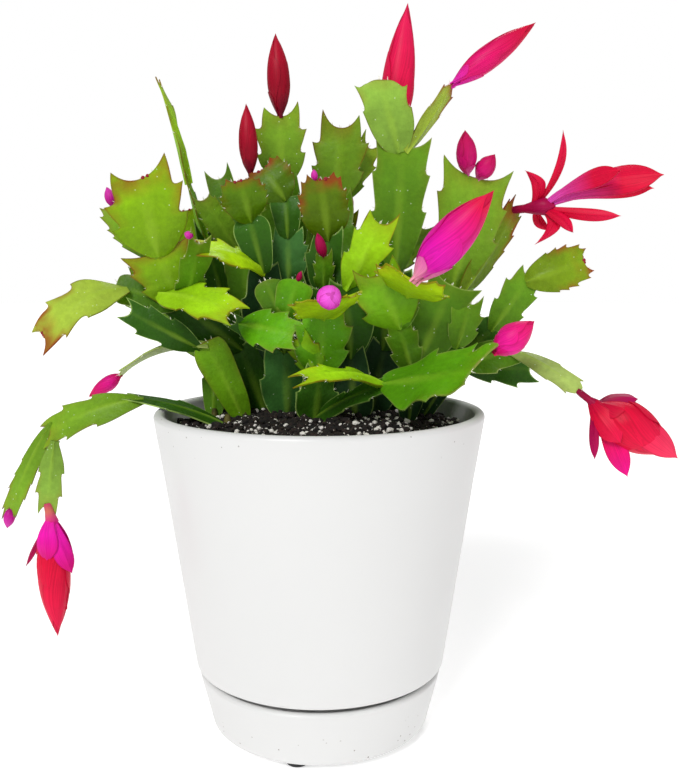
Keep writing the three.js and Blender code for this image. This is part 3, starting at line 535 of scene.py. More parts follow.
# Blooms: stem, segment, tube's end, tube's thin and thick radius, tube's tone, a furled body as
# (tip x, y, z, radius) or nothing, and free petals: tip, width, start along the tube and tone, and where
# they aren't 0 the bow, the sway, the way that the face looks and the hook
Petal = namedtuple("Petal", "x y z width begin tone bow sway azimuth elevation hook",
                   defaults=(0, 0, 0, 0, 0))
BLOOMS = {
    "bloom_open": ("stem_tall_right", "side", (98.5, 18.5, 226), (1.8, 4.4), "plum", None, (
        (141, -4, 237, 15, 1, "throat", 2, -3, 0, 25),
        (123, -7, 238.5, 9.5, 1, "throat", 1, -2.5, -5, 20),
        (134, 3, 238, 12, 0.9, "throat", 3, -2, 10, 60),
        (138, -2, 232, 10, 1, "throat", -2, -2.5, 0, -10),
        (106, 16, 257, 3.8, 0.75, "red", 1, 3.2, 0, 0, -1.4), (127, 4, 221, 5.6, 0.9, "red", 1, 1, 0, -5),
        (92, 14, 241, 6.4, 0.65, "red", 1, 2.8, 0, 10, -3.4),
        (109, 8, 215, 5.4, 0.9, "red", 1, -1, 10, 0, 1),
        (96, 16, 210, 6.4, 0.8, "red", 1, -7, -15, 0, 1.5), (101, 24, 216, 5, 0.8, "red", 2, -2, 150),
    )),
    "bloom_hanging_right": ("stem_right_low", "hanging", (116, -25, 141), (1.4, 4), "plum",
                            (141, -29, 125.5, 9), (
        (141, -34, 125, 13, 0.95, "flame", 4, -1, 0, 30),
        (127, -27, 147, 8, 0.7, "plum", 1.5, -1, 0, 55),
        (123, -31, 117, 9, 0.8, "berry", 2, 0, -25, 10),
        (109.5, -32, 124, 4, 0.6, "plum", 1, 0, -20),
        (119, -34, 131, 11, 0.5, "red", 2.5, 0, -30),
        (131, -18, 126, 12, 0.8, "red", 2, 0, 160),
    )),
    "bloom_hanging_left": ("stem_trailing_left", "inner", (-115.5, -4, 90.5), (1.8, 3.2), "stalk",
                           (-115, -4, 39, 6.6), (
        (-107, -7, 69, 8.5, 0.8, "hot", 3, 1, 35), (-127.5, -3, 71, 2.6, 0.9, "plum", 1, 0, -20),
        (-116, -10, 75, 9.5, 0.8, "hot", 3.5, 0, -5), (-112, 3, 66, 10, 0.8, "hot", 3, 0, 170),
        (-111, -4, 52, 6, 0.95, "red", 2, 0, 80),
    )),
    "bloom_back": ("stem_back_hanging", "end", (-32, 67, 154), (1.2, 3.2), "plum", None, (
        (-5, 67, 152, 11, 1, "throat", 1, 0, 180, 20), (-8, 65, 148, 9, 1, "throat", -1, 0, 180, -10),
        (-9, 66, 157, 9, 0.9, "throat", 1, 0, 180, 60), (-20, 67, 145, 5, 0.8, "red", 1, -2, 180),
        (-24, 66, 165, 5, 0.6, "red", 1, 2, 180, 0, 2),
    )),
}


def mm(value):
    return value * 0.001


def in_mm(value):
    return value * 1000


def linear(colour):
    """An sRGB colour of 0 to 255 as Blender's linear values."""
    shares = [part / 255 for part in colour]
    return tuple(s / 12.92 if s <= 0.04045 else ((s + 0.055) / 1.055) ** 2.4 for s in shares)


def opaque(*colour):
    """The same for a colour socket, which also wants an alpha."""
    return (*linear(colour), 1)


# Modelling by hand: selection, edit mode, modifiers and joining

def deselect_all():
    for obj in bpy.context.selected_objects:
        obj.select_set(False)


def select_only(*pieces):
    """Selects the pieces alone and makes the first of them active."""
    deselect_all()
    for piece in pieces:
        piece.select_set(True)
    bpy.context.view_layer.objects.active = pieces[0]


def named(piece, name):
    piece.name = name
    piece.data.name = name
    return piece


def start_editing(name):
    """Names the primitive that was just added and opens it for editing."""
    piece = named(bpy.context.active_object, name)
    bpy.ops.object.mode_set(mode="EDIT")
    return piece


def pick(piece, chosen):
    """In edit mode, selects the vertices that the test chooses by number and place."""
    shape = bmesh.from_edit_mesh(piece.data)
    for part in (*shape.faces, *shape.edges, *shape.verts):
        part.select = False
    for vertex in shape.verts:
        vertex.select = bool(chosen(vertex.index, vertex.co))
    shape.select_flush(True)
    bmesh.update_edit_mesh(piece.data)


def stop_editing():
    bpy.ops.object.mode_set(mode="OBJECT")


def with_modifier(piece, kind, **settings):
    """Adds a modifier to the piece and applies it."""
    select_only(piece)
    modifier = piece.modifiers.new(kind.title(), kind)
    for setting, value in settings.items():
        setattr(modifier, setting, value)
    bpy.ops.object.modifier_apply(modifier=modifier.name)


def smooth_shaded(piece, degrees):
    select_only(piece)
    bpy.ops.object.shade_smooth_by_angle(angle=math.radians(degrees))


def copy_of(master, name):
    """A copy of a master piece with its own mesh."""
    piece = bpy.data.objects.new(name, master.data.copy())
    bpy.context.scene.collection.objects.link(piece)
    return piece


def joined(name, pieces):
    select_only(*pieces)
    if len(pieces) > 1:
        bpy.ops.object.join()
    return named(bpy.context.active_object, name)


def put_away(master):
    """A master has served once its copies are made."""
    bpy.data.objects.remove(master)


def finished(piece, material, nodes):
    piece.data.materials.clear()
    piece.data.materials.append(material)
    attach(piece, "root")
    if nodes:
        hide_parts(*nodes)


def arc(centre_radius, centre_height, radius, from_degrees, to_degrees, steps):
    """Points of a round stretch of a turned profile."""
    turns = [math.radians(from_degrees + (to_degrees - from_degrees) * i / steps) for i in range(steps + 1)]
    return [(centre_radius + radius * math.cos(t), centre_height + radius * math.sin(t)) for t in turns]


def thrown(name, profile, sides, closes_on_itself=False):
    """A round piece: a circle whose edge is extruded ring after ring along a profile in mm."""
    radius, height = profile[0]
    deselect_all()
    bpy.ops.mesh.primitive_circle_add(vertices=sides, radius=mm(radius), location=(0, 0, mm(height)))
    bpy.ops.object.transform_apply(location=True, rotation=True, scale=True)
    piece = start_editing(name)
    if not closes_on_itself:
        bpy.ops.mesh.edge_face_add()
        bpy.ops.mesh.select_all(action="SELECT")
    bpy.ops.mesh.select_mode(type="EDGE")
    for next_radius, next_height in profile[1:]:
        bpy.ops.mesh.extrude_edges_move(TRANSFORM_OT_translate={"value": (0, 0, mm(next_height - height))})
        share = next_radius / radius
        bpy.ops.transform.resize(value=(share, share, 1), center_override=(0, 0, 0))
        radius = next_radius
        height = next_height
    if not closes_on_itself:
        bpy.ops.mesh.edge_face_add()
    bpy.ops.mesh.select_mode(type="VERT")
    bpy.ops.mesh.select_all(action="SELECT")
    bpy.ops.mesh.remove_doubles(threshold=mm(MERGE_DISTANCE))
    bpy.ops.mesh.normals_make_consistent(inside=False)
    stop_editing()
    return piece


# Shader building

def plug(tree, socket, value):
    """Links a socket to another one, or sets it to a plain value."""
    if isinstance(value, bpy.types.NodeSocket):
        tree.links.new(value, socket)
    else:
        socket.default_value = value


def add_node(tree, kind, inputs=None, **settings):
    made = tree.nodes.new(kind)
    for setting, value in settings.items():
        setattr(made, setting, value)
    for socket, value in (inputs or {}).items():
        plug(tree, made.inputs[socket], value)
    return made


def maths(tree, operation, first, second=0.0, third=0.0):
    return add_node(tree, "ShaderNodeMath", {0: first, 1: second, 2: third}, operation=operation).outputs[0]


def times(tree, first, *others):
    """The product of several values."""
    product = first
    for other in others:
        product = maths(tree, "MULTIPLY", product, other)
    return product


def ramp_between(tree, value, low, high, to_low=0.0, to_high=1.0):
    """A value turned into a soft step between low and high."""
    sockets = {"Value": value, "From Min": low, "From Max": high, "To Min": to_low, "To Max": to_high}
    return add_node(tree, "ShaderNodeMapRange", sockets, interpolation_type="SMOOTHSTEP").outputs["Result"]


def mixed(tree, share, first, second):
    """Two colours mixed by a share."""
    return add_node(tree, "ShaderNodeMix", {0: share, 6: first, 7: second}, data_type="RGBA").outputs[2]


def lightened(tree, colour, value):
    """A colour made lighter above a value of 1 and darker below it."""
    return add_node(tree, "ShaderNodeHueSaturation", {"Color": colour, "Value": value}).outputs["Color"]


def clouds(tree, place, scale, detail, roughness=0.5):
    """Soft random patches between 0 and 1."""
    sockets = {"Vector": place, "Scale": scale, "Detail": detail, "Roughness": roughness}
    return add_node(tree, "ShaderNodeTexNoise", sockets).outputs["Fac"]


def attribute(tree, name, output):
    return add_node(tree, "ShaderNodeAttribute", attribute_name=name).outputs[output]


def flat_coordinates(tree):
    """A flat piece's own map, how far a point lies from its middle line, and how far along it."""
    flat_map = add_node(tree, "ShaderNodeUVMap", uv_map="UVMap").outputs["UV"]
    split = add_node(tree, "ShaderNodeSeparateXYZ", {"Vector": flat_map}).outputs
    across = maths(tree, "ABSOLUTE", maths(tree, "MULTIPLY_ADD", split["X"], 2, -1))
    return flat_map, across, split["Y"]


def near_margin(tree, across, from_side, along, from_end):
    """Grows to 1 at a flat piece's sides and at its end, from the shares given."""
    side = ramp_between(tree, across, from_side, 1)
    return maths(tree, "MAXIMUM", side, ramp_between(tree, along, from_end, 1))


def new_group(name, inputs, outputs):
    """A node group with sockets of the kinds given; returns it with its inner ends."""
    group = bpy.data.node_groups.new(name, "ShaderNodeTree")
    for direction, sockets in (("INPUT", inputs), ("OUTPUT", outputs)):
        for socket, kind in sockets.items():
            group.interface.new_socket(name=socket, in_out=direction, socket_type=f"NodeSocket{kind}")
    return group, group.nodes.new("NodeGroupInput").outputs, group.nodes.new("NodeGroupOutput").inputs


def make_mottling():
    """Colour made lighter and darker in soft patches."""
    inputs = {"Color": "Color", "Vector": "Vector", "Scale": "Float", "Amount": "Float"}
    group, given, result = new_group("Mottling", inputs, {"Color": "Color"})
    swing = maths(group, "MULTIPLY_ADD", clouds(group, given["Vector"], given["Scale"], detail=4), 2, -1)
    value = maths(group, "MULTIPLY_ADD", swing, given["Amount"], 1)
    plug(group, result["Color"], lightened(group, given["Color"], value))
    return group


def make_specks():
    """Mask of small round specks, on a share of the cells only."""
    inputs = {"Vector": "Vector", "Scale": "Float", "Size": "Float", "Share": "Float"}
    group, given, result = new_group("Specks", inputs, {"Mask": "Float"})
    where = {"Vector": given["Vector"], "Scale": given["Scale"]}
    cells = add_node(group, "ShaderNodeTexVoronoi", where).outputs
    chance = add_node(group, "ShaderNodeSeparateColor", {"Color": cells["Color"]}).outputs["Red"]
    chosen = maths(group, "LESS_THAN", chance, given["Share"])
    near = maths(group, "LESS_THAN", cells["Distance"], given["Size"])
    plug(group, result["Mask"], times(group, chosen, near))
    return group


MOTTLING = make_mottling()
SPECKS = make_specks()


def mottled(tree, colour, place, scale, amount):
    sockets = {"Color": colour, "Vector": place, "Scale": scale, "Amount": amount}
    return add_node(tree, "ShaderNodeGroup", sockets, node_tree=MOTTLING).outputs["Color"]


def specks(tree, place, scale, size, share):
    sockets = {"Vector": place, "Scale": scale, "Size": size, "Share": share}
    return add_node(tree, "ShaderNodeGroup", sockets, node_tree=SPECKS).outputs["Mask"]


def new_material(name):
    """A new material with its nodes and the places on the piece that its patterns read."""
    material = bpy.data.materials.new(name)
    material.use_nodes = True
    tree = material.node_tree
    return material, tree, add_node(tree, "ShaderNodeTexCoord").outputs["Object"]


def show(tree, colour, roughness, height=None, strength=0, depth=0, gloss=PLAIN_GLOSS):
    """What the surface shows: colour, roughness, mirror share, and a relief up to a depth in mm."""
    surface = tree.nodes["Principled BSDF"].inputs
    plug(tree, surface["Base Color"], colour)
    plug(tree, surface["Roughness"], roughness)
    plug(tree, surface["Specular IOR Level"], gloss)
    if height is not None:
        relief = {"Height": height, "Strength": strength, "Distance": mm(depth)}
        plug(tree, surface["Normal"], add_node(tree, "ShaderNodeBump", relief).outputs["Normal"])
    return surface


def glaze_material():
    """Satin white glaze with faint waves and a few specks of dirt near the soil and the floor."""
    material, tree, place = new_material("White glaze")
    height = add_node(tree, "ShaderNodeSeparateXYZ", {"Vector": place}).outputs["Z"]
    low = ramp_between(tree, height, *DIRT_NEAR_FLOOR)
    inside = times(tree, ramp_between(tree, height, *DIRT_NEAR_SOIL), 0.5)
    dots = specks(tree, place, scale=900, size=0.3, share=0.02)
    dirt = times(tree, dots, maths(tree, "MAXIMUM", low, inside))
    white = mottled(tree, opaque(215, 215, 214), place, scale=18, amount=0.015)
    waves = clouds(tree, place, scale=40, detail=2)
    colour = mixed(tree, dirt, white, opaque(92, 76, 62))
    show(tree, colour, ramp_between(tree, waves, 0, 1, 0.34, 0.46), waves, strength=0.05, depth=0.3)
    return material


def rubber_material():
    material, tree, place = new_material("Black rubber")
    black = mottled(tree, opaque(22, 22, 23), place, scale=400, amount=0.3)
    grain = clouds(tree, place, scale=2500, detail=3)
    show(tree, black, roughness=0.62, height=grain, strength=0.25, depth=0.1)
    return material


def soil_material():
    """Moist peat: near black, with brown fibres and pale dust."""
    material, tree, place = new_material("Potting soil")
    peat = clouds(tree, place, scale=420, detail=8, roughness=0.7)
    brown = mixed(tree, ramp_between(tree, peat, 0.42, 0.7), opaque(10, 7, 6), opaque(54, 38, 30))
    dusty = mixed(tree, specks(tree, place, scale=1300, size=0.3, share=0.05), brown, opaque(170, 160, 150))
    show(tree, dusty, roughness=0.9, height=peat, strength=0.9, depth=0.8)
    return material


def perlite_material():
    material, tree, place = new_material("Perlite")
    white = mottled(tree, opaque(226, 222, 214), place, scale=900, amount=0.12)
    pores = clouds(tree, place, scale=3000, detail=4)
    show(tree, white, roughness=0.75, height=pores, strength=0.4, depth=0.15)
    return material


def segment_material():
    """Waxy green skin: lighter along the rib, pale and reddish at the margin, with dust specks; the pale rim
    is partly a painted highlight along the edges.
    """
    material, tree, place = new_material("Segment skin")
    blush = attribute(tree, "blush", "Fac")
    _, across, along = flat_coordinates(tree)
    patchy = clouds(tree, place, scale=120, detail=3)
    sheen = clouds(tree, place, scale=260, detail=3)

    wide_patches = mottled(tree, attribute(tree, "skin", "Color"), place, scale=90, amount=0.3)
    patches = mottled(tree, wide_patches, place, scale=480, amount=0.22)
    towards_tip = lightened(tree, patches, ramp_between(tree, along, 0, 1, 0.8, 1.12))
    rib_fade = ramp_between(tree, along, 0.95, 0.1, 0.15, 1)
    rib = times(tree, ramp_between(tree, across, 0.26, 0.03), rib_fade, 0.6)
    ribbed = mixed(tree, rib, towards_tip, mixed(tree, 0.4, towards_tip, opaque(168, 206, 60)))

    # Rim at the sides and end: brown on young segments, pale on old ones, the pale partly their own margin
    # and partly a painted highlight along the edges
    edge = near_margin(tree, across, 0.93, along, 0.97)
    young = maths(tree, "MINIMUM", times(tree, blush, 4), 1)
    margin = mixed(tree, young, opaque(176, 204, 110), opaque(96, 56, 18))
    broken_edge_and_highlight = times(tree, edge, ramp_between(tree, patchy, 0.35, 0.65, 0.25, 0.75))
    edged = mixed(tree, broken_edge_and_highlight, ribbed, margin)

    upper_half = ramp_between(tree, along, 0.2, 0.8)
    reddened = times(tree, near_margin(tree, across, 0.55, along, 0.72), upper_half, blush)
    red = times(tree, reddened, ramp_between(tree, patchy, 0.25, 0.65))
    reddish = mixed(tree, maths(tree, "MINIMUM", red, 0.85), edged, opaque(140, 50, 22))
    dust = times(tree, specks(tree, place, scale=640, size=0.16, share=0.07), 0.6)
    dusty = mixed(tree, dust, reddish, opaque(206, 224, 186))

    satin = ramp_between(tree, sheen, 0.2, 0.8, 0.3, 0.5)
    relief = maths(tree, "MULTIPLY_ADD", sheen, 2, clouds(tree, place, scale=900, detail=5))
    show(tree, dusty, satin, relief, strength=0.5, depth=0.35, gloss=WAXY_GLOSS)
    return material


def petal_material():
    """Silky petal: colour from base to tip, with fine lengthwise streaks."""
    material, tree, place = new_material("Petal")
    petal_map, across, _ = flat_coordinates(tree)
    stretched = add_node(tree, "ShaderNodeMapping", {"Vector": petal_map, "Scale": STREAKS})
    streaks = clouds(tree, stretched.outputs["Vector"], scale=1, detail=4)
    light = ramp_between(tree, streaks, 0.3, 0.7, 0.84, 1.14)
    streaked = lightened(tree, attribute(tree, "skin", "Color"), light)
    patches = mottled(tree, streaked, place, scale=160, amount=0.12)
    margin = times(tree, ramp_between(tree, across, 0.86, 1), 0.35)
    edged = mixed(tree, margin, patches, opaque(140, 4, 36))
    show(tree, edged, roughness=0.42, height=streaks, strength=0.3, depth=0.25, gloss=WAXY_GLOSS)
    return material


def bristle_material():
    material, tree, place = new_material("Bristle")
    show(tree, mottled(tree, opaque(244, 242, 226), place, scale=600, amount=0.1), roughness=0.6)
    return material


GLAZE = glaze_material()
RUBBER = rubber_material()
SOIL = soil_material()
PERLITE = perlite_material()
SEGMENT = segment_material()
PETAL = petal_material()
BRISTLE = bristle_material()


# The pot, its saucer and the rubber feet

def pot_radius(height):
    """Radius of the pot's outer wall at a height, in mm."""
    share = (height - POT_WALL_END) / (POT_TOP - POT_WALL_END)
    return POT_WALL_END_RADIUS + share * (POT_RIM_RADIUS - POT_WALL_END_RADIUS)


def make_pot():
    lip = POT_WALL / 2
    well = POT_FOOT_RADIUS - POT_WALL
    step = POT_WALL_END + POT_WALL
    slope_end = step + POT_SLOPE_RISE
    ring = POT_TOP - POT_RING_DEPTH
    profile = [
        (DRAIN_RADIUS, POT_BOTTOM),
        *arc(POT_FOOT_RADIUS - POT_FOOT_ROUND, POT_BOTTOM + POT_FOOT_ROUND, POT_FOOT_ROUND, -90, 0, 4),
        (POT_FOOT_RADIUS, POT_WALL_END - POT_STEP_ROUND),
        *arc(POT_WALL_END_RADIUS - POT_STEP_ROUND, POT_WALL_END, POT_STEP_ROUND, -90, 0, 6),
        (pot_radius(ring), ring),
        *arc(POT_RIM_RADIUS - lip, POT_TOP - lip, lip, 0, 180, 12),
        (pot_radius(slope_end) - POT_WALL, slope_end),
        (pot_radius(step) - POT_WALL - POT_SLOPE_WIDTH, step),
        (well, step),
        (well, POT_FLOOR_TOP),
        (DRAIN_RADIUS, POT_FLOOR_TOP),
        (DRAIN_RADIUS, POT_BOTTOM),
    ]
    piece = thrown("pot_glazed", profile, ROUND_SIDES, closes_on_itself=True)
    smooth_shaded(piece, degrees=40)
    finished(piece, GLAZE, ["pot"])


def make_saucer():
    lip = SAUCER_WALL / 2
    corner = SAUCER_BOTTOM_RADIUS - SAUCER_EDGE_ROUND
    inner = SAUCER_BOTTOM_RADIUS - SAUCER_WALL
    hollow = SAUCER_FLOOR_ROUND
    profile = [
        (corner - SAUCER_EDGE_MARGIN, SAUCER_BOTTOM),
        *arc(corner, SAUCER_BOTTOM + SAUCER_EDGE_ROUND, SAUCER_EDGE_ROUND, -90, -6, 8),
        *arc(SAUCER_RIM_RADIUS - lip, SAUCER_TOP - lip, lip, 0, 180, 10),
        *arc(inner - hollow, SAUCER_FLOOR_TOP + hollow, hollow, 0, -90, 5),
        (inner - 2 * SAUCER_EDGE_MARGIN, SAUCER_FLOOR_TOP),
    ]
    piece = thrown("saucer_glazed", profile, ROUND_SIDES)
    smooth_shaded(piece, degrees=40)
    finished(piece, GLAZE, ["saucer"])


def make_rubber_foot(node):
    """A flat rubber button with rounded edges, pressed under the saucer."""
    low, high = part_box(node)
    centre = (low + high) / 2
    radius = (high.x - low.x) / 2
    depth = high.z - low.z
    deselect_all()
    bpy.ops.mesh.primitive_cylinder_add(vertices=RUBBER_SIDES, radius=radius, depth=depth, location=centre)
    bpy.ops.object.transform_apply(location=True, rotation=True, scale=True)
    piece = start_editing(f"{node}_button")
    pick(piece, lambda number, place: place.z < centre.z)
    bpy.ops.mesh.inset(thickness=radius * RUBBER_INSET)
    stop_editing()
    with_modifier(piece, "BEVEL", width=mm(RUBBER_ROUND), segments=4, limit_method="ANGLE")
    smooth_shaded(piece, degrees=50)
    finished(piece, RUBBER, [node])


# The soil with its crumbs and perlite

SOIL_RADIUS = pot_radius(SOIL_EDGE) - POT_WALL - SOIL_GAP


def soil_height(x, y):
    """Height of the soil's surface, before its clods, in mm."""
    share = min(1, math.hypot(x, y) / SOIL_RADIUS)
    return SOIL_EDGE + SOIL_MOUND * (1 - share * share)


def clod_lift(x, y):
    """Lumps of the soil's surface at a place, in mm."""
    lumps = noise.fractal(Vector((x, y, LUMP_LAYER)) * LUMP_SCALE, 1.0, 2.0, 3)
    crumbs = noise.noise(Vector((x, y, CRUMB_LAYER)) * CRUMB_SCALE)
    fade = min(1, max(0, (SOIL_RADIUS - math.hypot(x, y)) / CLOD_MARGIN))
    return (lumps * LUMP_RISE + crumbs * CRUMB_RISE) * (CLOD_EDGE_SHARE + (1 - CLOD_EDGE_SHARE) * fade)


def make_soil():
    well = POT_FOOT_RADIUS - POT_WALL - SOIL_GAP
    step = POT_WALL_END + POT_WALL + SOIL_GAP
    slope_end = step + POT_SLOPE_RISE
    profile = [
        (well, POT_FLOOR_TOP + SOIL_GAP),
        (well, step),
        (pot_radius(slope_end) - POT_WALL - SOIL_SLOPE_GAP, slope_end),
    ]
    for ring in range(SOIL_RINGS):
        radius = SOIL_RADIUS * (1 - ring / SOIL_RINGS)
        profile.append((radius, soil_height(radius, 0)))
    piece = thrown("soil_bed", profile, SOIL_SIDES)
    for vertex in piece.data.vertices:
        if vertex.co.z > mm(SOIL_EDGE - 1):
            vertex.co.z += mm(clod_lift(in_mm(vertex.co.x), in_mm(vertex.co.y)))
    smooth_shaded(piece, degrees=60)
    finished(piece, SOIL, ["soil"])


def grain_master(name, detail, roughness):
    """An uneven grain: a small ball pushed in and out."""
    deselect_all()
    bpy.ops.mesh.primitive_ico_sphere_add(subdivisions=detail, radius=1, location=(0, 0, 0))
    piece = start_editing(name)
    bpy.ops.transform.vertex_random(offset=roughness, seed=GRAIN_SEED)
    stop_editing()
    return piece


def scattered(name, roughness, count, seed, sizes, flatness, sink, material):
    """Grains strewn over the soil by a seeded draw."""
    master = grain_master("grain_master", detail=1, roughness=roughness)
    draw = random.Random(seed)
    grains = []
    for _ in range(count):
        reach = (SOIL_RADIUS - GRAIN_MARGIN) * math.sqrt(draw.random())
        turn = draw.uniform(0, 2 * math.pi)
        x, y = reach * math.cos(turn), reach * math.sin(turn)
        size = sizes[0] + (sizes[1] - sizes[0]) * draw.random() ** GRAIN_RARITY
        z = soil_height(x, y) + clod_lift(x, y) + size * sink
        spin = Matrix.Rotation(draw.uniform(0, GREATEST_TURN), 4, "Z")
        spin = spin @ Matrix.Rotation(draw.uniform(-GRAIN_TILT, GRAIN_TILT), 4, "X")
        shape = Matrix.Diagonal((mm(size) * draw.uniform(*GRAIN_LENGTHS), mm(size), mm(size) * flatness, 1))
        grain = copy_of(master, "grain")
        grain.data.transform(Matrix.Translation((mm(x), mm(y), mm(z))) @ spin @ shape)
        grains.append(grain)
    finished(joined(name, grains), material, [])
    put_away(master)


def make_soil_grains():
    scattered("soil_crumbs", roughness=0.34, count=2800, seed=21, sizes=(0.5, 2.3), flatness=0.75, sink=0.3,
              material=SOIL)
    scattered("perlite_grains", roughness=0.3, count=1500, seed=33, sizes=(0.22, 1.35), flatness=0.85,
              sink=0.55, material=PERLITE)


# Masters of the flat repeating pieces. A row is height at the middle, height at the edge, half width, and
# the power by which the edge sweeps away from the middle

TOOTHED_ROWS = (
    (0, 0, 0.2, 1), (0.07, 0.05, 0.36, 1), (0.15, 0.14, 0.56, 1), (0.23, 0.24, 0.75, 1),
    (0.3, 0.33, 0.88, 1.4), (0.36, 0.41, 0.95, 1.6), (0.41, 0.48, 1.0, 2), (0.45, 0.475, 0.85, 2),
    (0.49, 0.505, 0.78, 2), (0.54, 0.57, 0.84, 2), (0.6, 0.65, 0.93, 2), (0.66, 0.74, 0.99, 2),
    (0.71, 0.815, 1.05, 2.2), (0.75, 0.8, 0.87, 2.2), (0.79, 0.825, 0.755, 2.2), (0.85, 0.9, 0.755, 2),
    (0.905, 0.99, 0.745, 2), (0.955, 1.08, 0.72, 2.2), (1.0, 1.15, 0.68, 2.4),
)
HORNED_ROWS = (
    (0, 0, 0.2, 1), (0.07, 0.05, 0.34, 1), (0.15, 0.14, 0.5, 1), (0.24, 0.25, 0.64, 1),
    (0.32, 0.35, 0.77, 1.4), (0.39, 0.44, 0.86, 1.8), (0.44, 0.51, 0.93, 2), (0.48, 0.505, 0.78, 2),
    (0.53, 0.55, 0.76, 2), (0.6, 0.64, 0.82, 2), (0.67, 0.73, 0.9, 2), (0.72, 0.8, 0.97, 2.2),
    (0.76, 0.8, 0.83, 2.2), (0.81, 0.86, 0.82, 2.2), (0.87, 0.95, 0.88, 2), (0.92, 1.03, 0.94, 2),
    (0.96, 1.07, 0.98, 2.4), (1.0, 1.12, 1.0, 3),
)
STOUT_ROWS = (
    (0, 0, 0.34, 1), (0.1, 0.08, 0.56, 1), (0.22, 0.2, 0.72, 1), (0.36, 0.36, 0.83, 1), (0.5, 0.5, 0.9, 1),
    (0.64, 0.65, 0.96, 1), (0.76, 0.77, 1.0, 1), (0.86, 0.86, 0.98, 1.5), (0.94, 0.93, 0.88, 2),
    (1.0, 0.97, 0.7, 2),
)
SHOULDERED_ROWS = (
    (0, 0, 0.3, 1), (0.1, 0.08, 0.52, 1), (0.2, 0.19, 0.68, 1), (0.32, 0.33, 0.82, 1.2),
    (0.44, 0.47, 0.93, 1.6), (0.54, 0.61, 1.0, 2.2), (0.6, 0.62, 0.89, 2), (0.68, 0.7, 0.88, 2),
    (0.76, 0.81, 0.91, 2), (0.82, 0.93, 1.0, 2.6), (0.88, 0.89, 0.82, 2), (0.94, 0.94, 0.68, 2),
    (1.0, 0.97, 0.48, 2),
)
CRESTED_ROWS = (
    (0, 0, 0.2, 1), (0.08, 0.06, 0.38, 1), (0.17, 0.15, 0.57, 1), (0.26, 0.26, 0.73, 1),
    (0.34, 0.37, 0.84, 1.4), (0.4, 0.47, 0.93, 2), (0.44, 0.465, 0.83, 2), (0.5, 0.54, 0.88, 2),
    (0.56, 0.65, 0.99, 2.4), (0.61, 0.635, 0.86, 2), (0.67, 0.7, 0.89, 2), (0.73, 0.82, 0.97, 2.6),
    (0.78, 0.79, 0.82, 2), (0.84, 0.86, 0.79, 2), (0.9, 1.0, 0.78, 3), (0.95, 0.95, 0.6, 2),
    (1.0, 1.07, 0.52, 3),
)
WORN_ROWS = (
    (0, 0, 0.26, 1), (0.08, 0.06, 0.5, 1), (0.16, 0.15, 0.72, 1), (0.26, 0.27, 0.87, 1),
    (0.37, 0.4, 0.96, 1.4), (0.48, 0.53, 1.01, 1.8), (0.57, 0.64, 1.03, 2), (0.62, 0.645, 0.87, 2),
    (0.67, 0.685, 0.8, 2), (0.75, 0.78, 0.79, 2), (0.84, 0.89, 0.76, 2), (0.92, 1.01, 0.69, 2),
    (1.0, 1.12, 0.6, 2.2),
)
PETAL_ROWS = (
    (0, 0, 0.3, 1), (0.1, 0.1, 0.4, 1), (0.22, 0.22, 0.58, 1), (0.36, 0.36, 0.78, 1), (0.5, 0.5, 0.93, 1),
    (0.64, 0.64, 1.0, 1), (0.76, 0.755, 0.93, 1), (0.86, 0.85, 0.72, 1), (0.94, 0.925, 0.42, 1),
    (0.985, 0.97, 0.17, 1), (1.02, 1.0, 0.03, 1),
)
PETAL_TIPS = (10,)

# Outlines of the segments: rows, rows that end in a point, and where the bristles stand as
# (share of half width, share of length, column)
OUTLINES = {
    "toothed": (TOOTHED_ROWS, (6, 12, 18),
                ((0.76, 0.5, 1), (0.74, 0.82, 1), (0.3, 1.02, 0.44), (0.02, 1.0, 0.02))),
    "horned": (HORNED_ROWS, (6, 11, 17),
               ((0.76, 0.53, 1), (0.81, 0.83, 1), (0.3, 1.0, 0.3), (0.02, 1.0, 0.02))),
    "crested": (CRESTED_ROWS, (5, 8, 11, 14, 16),
                ((0.83, 0.465, 1), (0.86, 0.635, 1), (0.82, 0.79, 1), (0.3, 1.0, 0.5), (0.02, 1.0, 0.04))),
    "worn": (WORN_ROWS, (6, 12), ((0.78, 0.67, 1), (0.3, 1.01, 0.44), (0.02, 1.0, 0.02))),
    "stout": (STOUT_ROWS, (), ((0.3, 0.99, 0.44), (0.02, 1.0, 0.02))),
    "shouldered": (SHOULDERED_ROWS, (5, 9), ((0.88, 0.62, 1), (0.3, 0.99, 0.6), (0.02, 1.0, 0.04))),
}


def flat_master(name, rows, tips, columns):
    """A grid whose rows are widened and swept forward to an outline, then smoothed and thickened.

    Across is x from -1 to 1, along is y, and the two faces lie at z = 0.5 and -0.5.
    """
    deselect_all()
    bpy.ops.mesh.primitive_grid_add(x_subdivisions=columns, y_subdivisions=len(rows) - 1, size=2)
    piece = start_editing(name)
    line = columns + 1
    for row, (middle, edge, half_width, power) in enumerate(rows):
        level = -1 + 2 * row / (len(rows) - 1)
        pick(piece, lambda number, place: number // line == row)
        bpy.ops.transform.resize(value=(half_width, 1, 1), center_override=(0, 0, 0))
        bpy.ops.transform.translate(value=(0, middle - level, 0))
        for step in range(1, columns // 2 + 1):
            sweep = (edge - middle) * (step / (columns / 2)) ** power
            pair = (columns // 2 - step, columns // 2 + step)
            pick(piece, lambda number, place: number // line == row and number % line in pair)
            bpy.ops.transform.translate(value=(0, sweep, 0))
    pick(piece, lambda number, place: number // line in tips and number % line in (0, columns))
    bpy.ops.transform.vert_crease(value=1.0)
    stop_editing()
    with_modifier(piece, "SUBSURF", levels=1, render_levels=1, uv_smooth="NONE")
    with_modifier(piece, "SOLIDIFY", thickness=1.0, offset=0.0, use_even_offset=False)
    smooth_shaded(piece, degrees=50)
    return piece


def read_places(piece):
    """The places of a piece's vertices."""
    places = np.zeros(len(piece.data.vertices) * 3)
    piece.data.vertices.foreach_get("co", places)
    return places.reshape(-1, 3)


